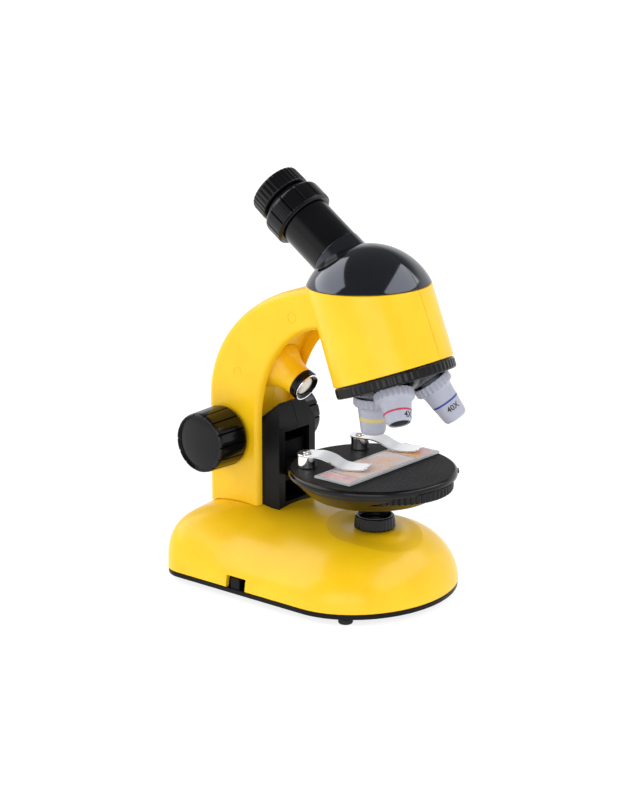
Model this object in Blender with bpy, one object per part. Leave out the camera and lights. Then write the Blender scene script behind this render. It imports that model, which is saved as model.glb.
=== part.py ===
"""A children's monocular microscope: hollow base with a battery bay, C-shaped arm with an oblique head,
three-objective turret, rack-and-pinion stage, two lamps and an inclined eyepiece.

All sizes are in millimetres and are turned into metres when a mesh is made. +Z is up, +X points from
the arm to the stage, and the origin is under the middle of the whole object, on the surface it stands on.
"""
from math import atan2, cos, degrees, hypot, pi, radians, sin, sqrt

import bmesh
import bpy
from mathutils import Matrix, Vector

MM = 0.001
GAP = 0.3                      # clearance between two pieces that meet

# ---- driving dimensions ---------------------------------------------------------------------------
FOOT_HEIGHT = 3.0              # the feet carry the base plate this far above the table
PLATE_THICKNESS = 2.6
SHELL_BOTTOM = FOOT_HEIGHT + PLATE_THICKNESS + GAP
BASE_REAR, BASE_FRONT = -73.9, 70.7
BASE_HALF_WIDTH = 53.3
BASE_CORNER = 14.0             # plan radius of the two rear corners
NOSE_START = 25.6              # the plan turns from straight sides to a half ellipse here
BASE_CROWN = 40.0              # height of the base's top along its middle
SIDE_STATIONS = (-59.9, -43.0, -26.0, -8.0, 9.0)
NOSE_STEPS = 10
SPINE = (-26.0, 30.0)          # the stretch of the middle line that the base's top is crowned about
NOSE_POWER, REAR_POWER, SIDE_POWER = 1.75, 5.0, 2.0      # how square the crowned profile is each way
SHELL_WALL = 2.2
DISH_RADIUS, DISH_DEPTH = 25.0, 2.4
LANDING_Z, LANDING_RADIUS, LANDING_BLEND = 37.2, 11.4, 8.0

STAGE_X, STAGE_TOP, STAGE_RADIUS = 29.7, 69.5, 44.0
STAGE_UNDERSIDE = 65.2
WHEEL_X, WHEEL_RADIUS = 41.9, 32.0
POST_X, POST_Y = 3.7, 21.5
CUP_X = 31.2

ARM_HALF_WIDTH = 18.5
ARM_EDGE = 4.5                 # radius of the arm's edges
ARM_WALL = 2.4
ARM_OUTER = (27.3, 95.4, 94.8, 71.2)      # centre x, half axis x, centre z, half axis z
ARM_INNER = (12.8, 45.6, 85.6, 56.6)
CHANNEL_DEPTH, CHANNEL_HALF_WIDTH = 6.0, 15.0
KNOB_X, KNOB_Z = -54.6, 75.2

RIM_CENTRE, RIM_RADIUS, RIM_TILT = Vector((26.2, 0, 165.9)), 32.0, radians(-2.6)
TURRET_CENTRE, TURRET_RADIUS, TURRET_TILT = Vector((42.7, 0, 122.6)), 31.6, radians(-20.8)
TURRET_AXIS = Vector((-sin(TURRET_TILT), 0, -cos(TURRET_TILT)))       # down and forward
RIM_AXIS = Vector((sin(RIM_TILT), 0, cos(RIM_TILT)))
APEX = Vector((STAGE_X, 0, 156.8))        # the three objective axes meet here
DOME_DROP = 15.6                          # the dome's sphere is centred this far below its rim
EYE_POINT, EYE_AXIS = Vector((7.6, 0, 176.7)), Vector((-0.819, 0, 0.574)).normalized()
TUBE_RADIUS = 13.9

LAMP_FACE, LAMP_PITCH = Vector((-14.9, 0, 104.2)), radians(26)
LAMP_AXIS = Vector((cos(LAMP_PITCH), 0, -sin(LAMP_PITCH)))

GUIDE_FRONT, GUIDE_REAR, GUIDE_HALF_WIDTH = -21.3, -38.0, 14.7
GUIDE_SHOULDER, GUIDE_RIDGE_X, GUIDE_RIDGE_Z = 84.8, -25.6, 95.4
NECK_ROOM_TOP = 82.0                      # the rack's neck rises to just under this height

PINION_TEETH, MODULE = 12, 1.0
PITCH_RADIUS = PINION_TEETH * MODULE / 2

# ---- materials ------------------------------------------------------------------------------------
FINISHES = {
    "yellow_shell": ((1.0, 0.66, 0.02), 0.35, 0.0),
    "black_gloss": ((0.010, 0.010, 0.012), 0.22, 0.0),
    "black_satin": ((0.016, 0.016, 0.018), 0.45, 0.0),
    "grey_objective": ((0.62, 0.63, 0.68), 0.32, 0.0),
    "chrome": ((0.85, 0.85, 0.87), 0.08, 1.0),
    "steel": ((0.55, 0.55, 0.56), 0.3, 1.0),
    "rubber": ((0.02, 0.02, 0.02), 0.8, 0.0),
    "clear": ((0.9, 0.93, 0.95), 0.05, 0.0),
    "lamp_white": ((0.95, 0.93, 0.85), 0.2, 0.0),
    "battery": ((0.20, 0.21, 0.24), 0.35, 0.3),
    "mirror": ((0.9, 0.9, 0.92), 0.03, 1.0),
}


def material(finish):
    found = bpy.data.materials.get(finish)
    if found:
        return found
    colour, roughness, metallic = FINISHES[finish]
    made = bpy.data.materials.new(finish)
    made.use_nodes = True
    shader = made.node_tree.nodes["Principled BSDF"]
    shader.inputs["Base Color"].default_value = (*colour, 1)
    shader.inputs["Roughness"].default_value = roughness
    shader.inputs["Metallic"].default_value = metallic
    return made


# ---- mesh helpers ---------------------------------------------------------------------------------
def finish_object(name, bm, finish, pivot=Vector((0, 0, 0))):
    """Turn a bmesh in millimetres into an object whose origin is at pivot."""
    bmesh.ops.remove_doubles(bm, verts=bm.verts, dist=1e-4)
    bmesh.ops.recalc_face_normals(bm, faces=bm.faces)
    bmesh.ops.transform(bm, matrix=Matrix.Scale(MM, 4) @ Matrix.Translation(-Vector(pivot)), verts=bm.verts)
    mesh = bpy.data.meshes.new(name)
    bm.to_mesh(mesh)
    bm.free()
    mesh.shade_smooth()
    mesh.set_sharp_from_angle(angle=radians(35))
    made = bpy.data.objects.new(name, mesh)
    made.location = Vector(pivot) * MM
    made.data.materials.append(material(finish))
    bpy.context.scene.collection.objects.link(made)
    return made


def add_rings(bm, rings):
    """Skin a list of equally long closed rings and cap both ends."""
    rows = [[bm.verts.new(point) for point in ring] for ring in rings]
    count = len(rows[0])
    for lower, upper in zip(rows, rows[1:]):
        for i in range(count):
            j = (i + 1) % count
            bm.faces.new((lower[i], lower[j], upper[j], upper[i]))
    bm.faces.new(rows[0])
    bm.faces.new(rows[-1])
    return bm


def loft(name, rings, finish, pivot=(0, 0, 0)):
    return finish_object(name, add_rings(bmesh.new(), rings), finish, pivot)


def axis_frame(origin, axis):
    """Matrix that stands local +Z on axis, with local +Y along the object's +Y where it can be."""
    z = Vector(axis).normalized()
    side = Vector((0, 1, 0)) if abs(z.y) < 0.9 else Vector((0, 0, 1))
    x = side.cross(z).normalized()
    y = z.cross(x)
    turn = Matrix((x, y, z)).transposed().to_4x4()
    return Matrix.Translation(Vector(origin)) @ turn


def lathe(name, profile, finish, origin, axis, segments=40, ribs=None, pivot=None):
    """Turn a closed (radius, height) profile about axis. ribs = (count, depth, first, last) cuts flutes
    into the profile points first..last."""
    place = axis_frame(origin, axis)
    bm = bmesh.new()
    rows = []
    for k in range(segments):
        angle = 2 * pi * (k + 0.5) / segments       # no corner lies on the middle plane
        row = []
        for index, (radius, height) in enumerate(profile):
            if ribs and ribs[2] <= index <= ribs[3] and (k * ribs[0] * 2 // segments) % 2:
                radius = radius - ribs[1]
            row.append(bm.verts.new(place @ Vector((radius * cos(angle), radius * sin(angle), height))))
        rows.append(row)
    count = len(profile)
    for k in range(segments):
        here, there = rows[k], rows[(k + 1) % segments]
        for i in range(count):
            j = (i + 1) % count
            if profile[i][0] == 0 and profile[j][0] == 0:
                continue
            corners = [here[i], here[j], there[j], there[i]]
            if profile[i][0] == 0:
                corners = [here[i], here[j], there[j]]
            elif profile[j][0] == 0:
                corners = [here[i], here[j], there[i]]
            bm.faces.new(corners)
    bmesh.ops.remove_doubles(bm, verts=bm.verts, dist=1e-4)
    return finish_object(name, bm, finish, origin if pivot is None else pivot)


def box_rings(low, high):
    (x0, y0, z0), (x1, y1, z1) = low, high
    return [[(x0, y0, z), (x1, y0, z), (x1, y1, z), (x0, y1, z)] for z in (z0, z1)]


def box(name, low, high, finish, bevel=0.0, pivot=(0, 0, 0)):
    made = loft(name, box_rings(low, high), finish, pivot)
    if bevel:
        add_bevel(made, bevel)
    return made


def add_bevel(target, width, segments=1):
    edge = target.modifiers.new("edges", "BEVEL")
    edge.width = width * MM
    edge.segments = segments
    edge.limit_method = "ANGLE"
    edge.angle_limit = radians(40)
    return edge


def prism_y(name, outline, y0, y1, finish, pivot=(0, 0, 0)):
    """A flat (x, z) outline pulled from y0 to y1."""
    return loft(name, [[(x, y, z) for x, z in outline] for y in (y0, y1)], finish, pivot)


SLIVER_PRONE = ("base_shell", "dome_", "arm_shell")       # EXACT leaves open slivers on these shells


def combine(target, tool, operation="DIFFERENCE"):
    """Boolean with a hidden tool object, kept as a modifier."""
    tool.hide_render = True
    tool.display_type = "WIRE"
    step = target.modifiers.new(tool.name, "BOOLEAN")
    step.operation = operation
    step.object = tool
    step.solver = "MANIFOLD" if target.name.startswith(SLIVER_PRONE) else "EXACT"
    return target


def cut(target, tool):
    return combine(target, tool, "DIFFERENCE")


def join(target, tool):
    return combine(target, tool, "UNION")


def drill(target, name, origin, axis, radius, low, high, segments=24):
    """Cut a round hole between heights low and high along axis."""
    profile = [(0, low), (radius, low), (radius, high), (0, high)]
    return cut(target, lathe(name, profile, "steel", origin, axis, segments))


def arc(centre, radius, start, end, count):
    """Points (r, h) on an arc, angles in degrees from +r towards +h."""
    points = []
    for k in range(count):
        angle = radians(start + (end - start) * k / (count - 1))
        points.append((centre[0] + radius * cos(angle), centre[1] + radius * sin(angle)))
    return points


# ---- base -----------------------------------------------------------------------------------------
def base_outline(inset=0.0):
    """Plan of the base, as (x, y) points from the middle of its rear round to the same place."""
    half, corner = BASE_HALF_WIDTH - inset, BASE_CORNER - inset
    rear, front = BASE_REAR + inset, BASE_FRONT - inset
    side = [(rear, -k * (half - corner) / 3) for k in range(3)]
    for k in range(5):
        angle = pi / 2 * k / 5
        side.append((rear + corner - corner * cos(angle), -(half - corner) - corner * sin(angle)))
    side += [(x, -half) for x in SIDE_STATIONS]
    for k in range(NOSE_STEPS + 1):
        angle = pi / 2 * k / NOSE_STEPS
        side.append((NOSE_START + (front - NOSE_START) * sin(angle), -half * cos(angle)))
    mirrored = [(x, -y) for x, y in reversed(side[1:-1])]
    return side + mirrored


def crown_height(x, y):
    """Height of the base's top, ahead of the arm, before the dish is cut."""
    along = max(x - SPINE[1], 0.0)
    reach = hypot(along, y)
    if reach == 0:
        return BASE_CROWN
    forward, sideways = along / reach, y / reach
    nose, lead = BASE_FRONT - NOSE_START, SPINE[1] - NOSE_START
    square = (forward / nose) ** 2 + (sideways / BASE_HALF_WIDTH) ** 2
    linear = lead * forward / nose ** 2
    full = (sqrt(linear ** 2 + square * (1 - (lead / nose) ** 2)) - linear) / square
    power = NOSE_POWER * forward ** 2 + SIDE_POWER * sideways ** 2
    share = min(reach / full, 1.0)
    return SHELL_BOTTOM + (BASE_CROWN - SHELL_BOTTOM) * (1 - share ** power) ** (1 / power)


def dish_height(reach, turn):
    """Height of the dish round the lamp cup, reach mm from the cup's axis."""
    crown = crown_height(CUP_X + reach * cos(turn), reach * sin(turn))
    sunk = crown - DISH_DEPTH * (1 - (reach / DISH_RADIUS) ** 2)
    blend = min(max((reach - LANDING_RADIUS) / LANDING_BLEND, 0.0), 1.0)
    blend = blend * blend * (3 - 2 * blend)
    return LANDING_Z + (sunk - LANDING_Z) * blend


def dish_tool():
    """Solid above the dish: flat over the landing, then bowl-shaped, then out of the base's top."""
    rings = []
    for reach in (LANDING_RADIUS, 14.0, 17.0, 20.0, DISH_RADIUS, DISH_RADIUS + 2):
        turns = [2 * pi * (k + 0.5) / 28 for k in range(28)]
        rings.append([(CUP_X + reach * cos(t), reach * sin(t), dish_height(reach, t)) for t in turns])
    rings.append([(x, y, 60.0) for x, y, z in rings[-1]])
    return loft("tool_dish", rings, "yellow_shell")


def base_rings(inset, drop, bottom, levels):
    """Rings of the domed base. Its sides are square-shouldered at the rear and rounder at the nose."""
    outline = base_outline(inset)
    rings = []
    for level in range(levels):
        turn = pi / 2 * level / levels
        ring = []
        for x, y in outline:
            spine_x = min(max(x, SPINE[0]), SPINE[1])
            dx, dy = x - spine_x, y
            reach = hypot(dx, dy) or 1.0
            forward, backward = max(dx / reach, 0) ** 2, max(-dx / reach, 0) ** 2
            power = NOSE_POWER * forward + REAR_POWER * backward + SIDE_POWER * (1 - forward - backward)
            share = cos(turn) ** (2 / power)
            rise = sin(turn) ** (2 / power) if level else 0.0
            px, py = spine_x + dx * share, dy * share
            pz = SHELL_BOTTOM + (BASE_CROWN - SHELL_BOTTOM) * rise
            ring.append((px, py, pz - drop if level else bottom))
        rings.append(ring)
    return rings


def domed_solid(name, inset, drop, bottom, finish, levels=6):
    """Closed domed body: its top is a strip of faces along the middle line."""
    bm = bmesh.new()
    rings = base_rings(inset, drop, bottom, levels)
    rows = [[bm.verts.new(point) for point in ring] for ring in rings]
    count = len(rows[0])
    for lower, upper in zip(rows, rows[1:]):
        for i in range(count):
            j = (i + 1) % count
            bm.faces.new((lower[i], lower[j], upper[j], upper[i]))
    bm.faces.new(rows[0])
    top = rows[-1]
    spine = []
    for i in range(count // 2 + 1):
        x = min(max(top[i].co.x, SPINE[0]), SPINE[1])
        spine.append(bm.verts.new((x, 0, BASE_CROWN - drop)))
    for i in range(count // 2):
        j = i + 1
        bm.faces.new((top[i], top[j], spine[j], spine[i]))
        bm.faces.new((top[-i], spine[i], spine[j], top[-j]))
    bmesh.ops.remove_doubles(bm, verts=bm.verts, dist=1e-3)
    return finish_object(name, bm, finish)


SCREW_SPOTS = [(x, y) for x in (-58.0, 40.0) for y in (-30.0, 30.0)]
FOOT_SPOTS = [(x, y) for x in (-62.0, 45.9) for y in (-42.0, 42.0)]
BAY_REAR, BAY_FRONT, BAY_HALF_WIDTH = -56.0, -1.0, 16.1
SWITCH_X, SWITCH_HALF = -19.8, 3.1
NOTCH = (-25.3, -12.2, 12.4)              # x from, x to, height of its top
ARM_SCREW_SPOTS = [(-46.0, y) for y in (-11.5, 11.5)]


def make_base_shell():
    shell = domed_solid("base_shell", 0.0, 0.0, SHELL_BOTTOM, "yellow_shell")
    cut(shell, dish_tool())
    hollow = domed_solid("tool_base_hollow", SHELL_WALL, SHELL_WALL, SHELL_BOTTOM - 2, "yellow_shell", 4)
    drill(hollow, "tool_under_dish", (CUP_X, 0, 0), (0, 0, 1), 26.5, LANDING_Z - SHELL_WALL, 60, 24)
    pilot = SHELL_BOTTOM + 11.1
    post = [(1.5, SHELL_BOTTOM + GAP), (3.4, SHELL_BOTTOM + GAP), (3.4, 60), (0, 60), (0, pilot), (1.5, pilot)]
    for index, (x, y) in enumerate(SCREW_SPOTS):
        cut(hollow, lathe(f"tool_base_post_{index}", post, "yellow_shell", (x, y, 0), (0, 0, 1), 10))
    cut(shell, hollow)
    drill(shell, "tool_led_hole", (CUP_X, 0, 0), (0, 0, 1), 3.9, 30, 60, 20)
    for index, (x, y) in enumerate(ARM_SCREW_SPOTS):
        drill(shell, f"tool_arm_screw_hole_{index}", (x, y, 0), (0, 0, 1), 1.9, 25, 50, 12)
    cut(shell, box("tool_wire_hole", (-60, -4, 28), (-52, 4, 50), "steel"))
    notch = ((NOTCH[0], -BASE_HALF_WIDTH - 5, 0), (NOTCH[1], -BASE_HALF_WIDTH + 6, NOTCH[2]))
    cut(shell, box("tool_switch_notch", *notch, "steel"))
    return shell


def make_base_plate():
    outline = base_outline(0.25)
    low, high = FOOT_HEIGHT, FOOT_HEIGHT + PLATE_THICKNESS
    plate = loft("base_plate", [[(x, y, z) for x, y in outline] for z in (low, high)], "black_satin")
    wall = 1.6
    bay = ((BAY_REAR - wall, -BAY_HALF_WIDTH - wall, high - 1), (BAY_FRONT + wall, BAY_HALF_WIDTH + wall, 17))
    join(plate, box("tool_bay_wall", *bay, "black_satin"))
    pocket = ((BAY_REAR, -BAY_HALF_WIDTH, 0), (BAY_FRONT, BAY_HALF_WIDTH, 30))
    cut(plate, box("tool_bay_pocket", *pocket, "black_satin"))
    for index, (x, y) in enumerate(SCREW_SPOTS):
        drill(plate, f"tool_plate_hole_{index}", (x, y, 0), (0, 0, 1), 1.6, 0, 9, 8)
        drill(plate, f"tool_plate_sink_{index}", (x, y, 0), (0, 0, 1), 3.2, 0, low + 1.4, 12)
    for index, (x, y) in enumerate(FOOT_SPOTS):
        drill(plate, f"tool_foot_socket_{index}", (x, y, 0), (0, 0, 1), 2.3, 0, 9, 10)
    slot = ((NOTCH[0] + 1.5, -BASE_HALF_WIDTH + 0.7, 0), (NOTCH[1] - 1.0, -BASE_HALF_WIDTH + 4.3, 9))
    cut(plate, box("tool_switch_slot", *slot, "steel"))
    return plate


def make_base_fittings():
    for index, (x, y) in enumerate(SCREW_SPOTS):
        head = FOOT_HEIGHT + 1.4 - GAP
        profile = [(0, head - 1.0), (2.8, head - 1.0), (2.8, head), (1.2, head), (1.2, 15.5), (0, 16.2)]
        lathe(f"base_screw_{index + 1}", profile, "steel", (x, y, 0), (0, 0, 1), 12)
    for index, (x, y) in enumerate(FOOT_SPOTS):
        profile = [(0, 0), (3.2, 0), (3.8, 0.5), (3.8, FOOT_HEIGHT - GAP), (2.0, FOOT_HEIGHT - GAP)]
        profile += [(2.0, FOOT_HEIGHT + PLATE_THICKNESS), (0, FOOT_HEIGHT + PLATE_THICKNESS)]
        lathe(f"foot_{index + 1}", profile, "rubber", (x, y, 0), (0, 0, 1), 12)
    door_low = (BAY_REAR + GAP, -BAY_HALF_WIDTH + GAP, FOOT_HEIGHT)
    door = box("battery_door", door_low, (BAY_FRONT - GAP, BAY_HALF_WIDTH - GAP, FOOT_HEIGHT + 2.0), "black_satin")
    drill(door, "tool_door_hole", (BAY_FRONT - 5, 0, 0), (0, 0, 1), 1.5, 0, 9, 12)
    profile = [(0, FOOT_HEIGHT + 0.2), (1.2, FOOT_HEIGHT + 0.2), (1.2, 7.5), (0, 7.5)]
    lathe("battery_door_screw", profile, "steel", (BAY_FRONT - 5, 0, 0), (0, 0, 1), 12)
    for index, y in enumerate((-7.9, 7.9)):
        facing = 1 if index else -1
        make_battery(index, y, facing)


def make_battery(index, y, facing):
    """One AA cell lying along X on the door, with its spring at one end."""
    radius, length = 7.2, 49.0
    z = FOOT_HEIGHT + 2.0 + GAP + radius
    middle = (BAY_REAR + BAY_FRONT) / 2
    profile = [(0, -length / 2), (radius - 0.6, -length / 2), (radius, -length / 2 + 0.6)]
    profile += [(radius, length / 2 - 0.6), (radius - 0.6, length / 2), (2.7, length / 2), (2.7, length / 2 + 1)]
    profile += [(0, length / 2 + 1)]
    lathe(f"battery_{index + 1}", profile, "battery", (middle, y, z), (facing, 0, 0), 14)
    coil_x = BAY_REAR + GAP if facing > 0 else BAY_FRONT - GAP
    make_spring(f"battery_spring_{index + 1}", Vector((coil_x, y, z)), Vector((facing, 0, 0)), 3.6, 2.1, 2.0, 2.0)


def make_spring(name, start, axis, first_radius, last_radius, length, turns, wire=0.35):
    """A conical coil of round wire."""
    place = axis_frame(start, axis)
    steps = int(turns * 10)
    rings = []
    for k in range(steps + 1):
        share = k / steps
        angle = 2 * pi * turns * share
        radius = first_radius + (last_radius - first_radius) * share
        centre = Vector((radius * cos(angle), radius * sin(angle), wire + (length - 2 * wire) * share))
        outward = Vector((cos(angle), sin(angle), 0))
        ring = []
        for m in range(4):
            turn = 2 * pi * m / 4
            ring.append(place @ (centre + outward * wire * cos(turn) + Vector((0, 0, wire * sin(turn)))))
        rings.append(ring)
    return loft(name, rings, "steel", start)


def make_illuminator():
    """Ribbed lamp cup in the dish of the base, with its LED and its lens."""
    z = LANDING_Z + GAP
    profile = [(3.3, z), (10.5, z), (10.8, z + 0.5), (10.3, 43.6), (9.9, 44.2), (8.5, 44.2), (8.1, 38.8), (3.3, 38.8)]
    lathe("illuminator_cup", profile, "black_gloss", (CUP_X, 0, 0), (0, 0, 1), 36, (18, 0.45, 2, 3))
    lens = [(0, 39.2), (7.4, 39.2), (7.6, 39.5), (7.6, 40.1), (7.2, 40.4), (0, 40.7)]
    lathe("illuminator_lens", lens, "clear", (CUP_X, 0, 0), (0, 0, 1), 16)
    led = [(0, 27.8), (3.2, 27.8), (3.2, 29.3), (2.5, 29.3), (2.5, 36.0)] + arc((0, 36.0), 2.4, 0, 90, 4)
    led[-1] = (0, led[-1][1])
    lathe("illuminator_led", led, "lamp_white", (CUP_X, 0, 0), (0, 0, 1), 12)


def make_switch():
    """Slide switch: a tab in the side notch that rises through a slot of the base plate."""
    y0, y1 = -BASE_HALF_WIDTH + 1.0, -BASE_HALF_WIDTH + 4.0
    box("light_switch", (SWITCH_X - SWITCH_HALF, y0, FOOT_HEIGHT + 0.2), (SWITCH_X + SWITCH_HALF, y1, 11.4),
        "black_satin", 0.4, (SWITCH_X, (y0 + y1) / 2, 7))


# ---- arm and head ---------------------------------------------------------------------------------
def bend(ellipse, grow, foot, end_x, steps=10):
    """One (x, z) edge of the C-shaped arm: up from its foot and over to x = end_x."""
    xc, a, zc, b = ellipse
    a, b = a + grow, b + grow
    last = atan2(sqrt(max(1 - ((xc - end_x) / a) ** 2, 0)), (xc - end_x) / a)
    points = [(xc - a, foot)]
    points += [(xc - a * cos(last * k / steps), zc + b * sin(last * k / steps)) for k in range(steps + 1)]
    return points


def arm_outline(outer_inset, inner_outset, foot, end_x):
    """(x, z) outline of the C-shaped arm, from its rear foot over the top and back along its inside."""
    return bend(ARM_OUTER, -outer_inset, foot, end_x) + bend(ARM_INNER, inner_outset, foot, end_x)[::-1]


def channel_outline(near_web, beyond):
    """(x, z) outline between two offsets of the arm's inner edge, such as the channel along its inside."""
    return bend(ARM_INNER, near_web, 20.0, 2.0) + bend(ARM_INNER, beyond, 20.0, 2.0)[::-1]


def half_ring(centre, radius, tilt, side, seam, count=14):
    """Half circle on one side of the middle plane, in a plane tilted about Y."""
    along = Vector((cos(tilt), 0, -sin(tilt)))
    start = seam / radius
    ring = []
    for k in range(count + 1):
        angle = start + (pi - 2 * start) * k / count
        ring.append(Vector(centre) + along * radius * cos(angle) + Vector((0, side * radius * sin(angle), 0)))
    return ring


def shift_along(centre, axis, distance):
    return Vector(centre) + Vector(axis) * distance


def head_solid(name, side, inset, seam, low, high):
    """Half of the oblique head, from its turret end (low mm up the turret axis) to its dome rim."""
    bottom = half_ring(shift_along(TURRET_CENTRE, TURRET_AXIS, -low), TURRET_RADIUS - inset, TURRET_TILT, side, seam)
    top = half_ring(shift_along(RIM_CENTRE, RIM_AXIS, high), RIM_RADIUS - inset, RIM_TILT, side, seam)
    rings = [bottom, top]
    return loft(name, rings, "yellow_shell")


def make_arm_half(name, side):
    """One of the two moulded halves of arm and head. side is -1 for the near half, +1 for the far one."""
    tag = "near" if side < 0 else "far"
    slices = []
    for turn in (90, 60, 30, 0):
        inset = ARM_EDGE * (1 - cos(radians(turn)))
        y = side * (ARM_HALF_WIDTH - ARM_EDGE + ARM_EDGE * sin(radians(turn)))
        slices.append([(x, y, z) for x, z in arm_outline(inset, inset * 0.7, 26.0, 12.0)])
    slices.append([(x, side * GAP / 2, z) for x, z in arm_outline(0, 0, 26.0, 12.0)])
    half = loft(name, slices, "yellow_shell")
    join(half, head_solid(f"tool_head_{tag}", side, 0.0, GAP / 2, 0.0, 0.0))
    hollow = []
    for y in (ARM_HALF_WIDTH - ARM_WALL, -1.0):
        outline = arm_outline(ARM_WALL, CHANNEL_DEPTH + ARM_WALL, 20.0, 26.0)
        hollow.append([(x, side * y, z) for x, z in outline])
    cut(half, loft(f"tool_arm_hollow_{tag}", hollow, "yellow_shell"))
    cut(half, head_solid(f"tool_head_hollow_{tag}", side, ARM_WALL, -1.0, 2.6, 3.0))
    channel = []
    for y in (CHANNEL_HALF_WIDTH, -1.0):
        channel.append([(x, side * y, z) for x, z in channel_outline(CHANNEL_DEPTH, -8.0)])
    cut(half, loft(f"tool_arm_channel_{tag}", channel, "yellow_shell"))
    cut(half, box(f"tool_rack_opening_{tag}", (-46, -4, 20), (-30, 4, NECK_ROOM_TOP), "steel"))
    boss_x, boss_y = ARM_SCREW_SPOTS[0][0], side * 11.5
    post = [(0, 30), (5.2, 30), (5.2, 52), (0, 52)]
    join(half, lathe(f"tool_arm_post_{tag}", post, "yellow_shell", (boss_x, boss_y, 0), (0, 0, 1), 12))
    drill(half, f"tool_arm_pilot_{tag}", (boss_x, boss_y, 0), (0, 0, 1), 1.5, 20, 47, 12)
    cut(half, domed_solid(f"tool_base_seat_{tag}", -GAP, -GAP, 0, "yellow_shell"))
    drill(half, f"tool_shaft_bore_{tag}", (KNOB_X, side * 10, KNOB_Z), (0, 1, 0), 2.8, -12, 12, 20)
    drill(half, f"tool_pivot_bore_{tag}", TURRET_CENTRE, TURRET_AXIS, 1.9, -8, 3, 16)
    drill(half, f"tool_light_bore_{tag}", (STAGE_X, 0, 100), (0, 0, 1), 6.0, 0, 32, 20)
    drill(half, f"tool_lamp_bore_{tag}", LAMP_FACE, LAMP_AXIS, 6.3, -34, -12, 20)
    return half


def make_arm_screws():
    for index, (x, y) in enumerate(ARM_SCREW_SPOTS):
        profile = [(0, 31.0), (2.9, 31.0), (2.9, 32.6), (1.2, 32.6), (1.2, 45.0), (0, 45.8)]
        lathe(f"arm_screw_{index + 1}", profile, "steel", (x, y, 0), (0, 0, 1), 12)


# ---- dome, mirror and eyepiece --------------------------------------------------------------------
def make_dome_half(name, side):
    """Half of the black dome with half of the eyepiece socket."""
    tag = "near" if side < 0 else "far"
    sphere = hypot(RIM_RADIUS, DOME_DROP)
    start = -degrees(atan2(-DOME_DROP, RIM_RADIUS))
    outer = arc((0, -DOME_DROP), sphere, start, 90, 7)
    outer[-1] = (0, outer[-1][1])
    wall = 2.0
    inner_start = -degrees(atan2(-DOME_DROP, RIM_RADIUS - wall))
    inner = arc((0, -DOME_DROP), sphere - wall, 90, inner_start, 5)
    inner[0] = (0, inner[0][1])
    lift = GAP
    profile = [(r, h + lift) for r, h in outer + inner]
    half = lathe(name, profile, "black_gloss", RIM_CENTRE, RIM_AXIS, 32)
    socket = [(0, -7.5), (14.3, -7.5), (14.3, 2.9), (14.0, 3.2), (0, 3.2)]
    join(half, lathe(f"tool_socket_{tag}", socket, "black_gloss", EYE_POINT, EYE_AXIS, 28))
    drill(half, f"tool_socket_bore_{tag}", EYE_POINT, EYE_AXIS, 12.9, -30, 8, 28)
    drill(half, f"tool_tube_room_{tag}", EYE_POINT, EYE_AXIS, TUBE_RADIUS + GAP, 3.2, 30, 28)
    away = sorted((-side * 60, side * GAP / 2))
    cut(half, box(f"tool_dome_split_{tag}", (-40, away[0], 150), (90, away[1], 220), "steel"))
    return half


def make_eyepiece():
    tube = [(10.0, -9), (12.6, -9), (12.6, 3.5), (TUBE_RADIUS, 3.5), (TUBE_RADIUS, 28.0), (12.5, 28.0)]
    tube += [(12.5, 43.4), (10.0, 43.4)]
    lathe("eyepiece_tube", tube, "black_gloss", EYE_POINT, EYE_AXIS, 28)
    collar = [(12.8, 28.3), (16.0, 28.3), (16.8, 29.0), (16.8, 39.9), (16.2, 40.6), (12.8, 40.6)]
    lathe("eyepiece_collar", collar, "black_gloss", EYE_POINT, EYE_AXIS, 36, (12, 0.5, 2, 3))
    cup = [(8.0, 30.0), (9.7, 30.0), (9.7, 43.8), (13.8, 43.8), (14.6, 44.5), (14.4, 53.2), (13.8, 53.9), (11.2, 53.9)]
    cup += [(8.0, 51.2)]
    lathe("eyecup", cup, "black_gloss", EYE_POINT, EYE_AXIS, 48, (24, 0.4, 4, 5))
    lathe("eye_lens", [(0, 48.2), (7.6, 49.0), (7.7, 49.6), (0, 50.6)], "clear", EYE_POINT, EYE_AXIS, 24)
    lathe("field_lens", [(0, 31.0), (7.6, 31.8), (7.7, 32.4), (0, 33.2)], "clear", EYE_POINT, EYE_AXIS, 24)


DECK_CENTRE = Vector((32.4, 0, 150.0))    # middle of the mirror's deck, inside the leaning head


def make_mirror():
    """The mirror turns the light from the working objective into the eyepiece."""
    normal = (EYE_AXIS + Vector((0, 0, -1))).normalized()
    centre = Vector((STAGE_X, 0, 161.2))
    along = normal.cross(Vector((0, 1, 0))).normalized()
    corners = [(u, v) for u, v in ((-11, -9), (11, -9), (11, 9), (-11, 9))]

    def plate(depth_0, depth_1, grow):
        rings = []
        for depth in (depth_0, depth_1):
            ring = []
            for u, v in corners:
                flat = along * (u + grow * (1 if u > 0 else -1)) + Vector((0, v + grow * (1 if v > 0 else -1), 0))
                ring.append(centre + flat - normal * depth)
            rings.append(ring)
        return rings

    loft("mirror", plate(0.0, 1.2, 0.0), "mirror", centre)
    holder = loft("mirror_holder", plate(1.5, 4.0, 1.0), "black_satin")
    deck = [(0, -1.0), (28.0, -1.0), (28.0, 1.0), (0, 1.0)]
    join(holder, lathe("tool_deck", deck, "black_satin", DECK_CENTRE, RIM_AXIS, 28))
    leg = [(STAGE_X + 6.5, 150.5), (STAGE_X + 12.0, 150.5), (STAGE_X + 6.0, 161.0), (STAGE_X + 3.6, 161.0)]
    join(holder, prism_y("tool_mirror_leg", leg, -9.0, 9.0, "black_satin"))
    cut(holder, loft("tool_mirror_clear", plate(-30.0, 1.5, 3.0), "black_satin"))
    drill(holder, "tool_deck_hole", (STAGE_X - 2.0, 0, 140), (0, 0, 1), 8.0, 0, 14, 24)


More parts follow.
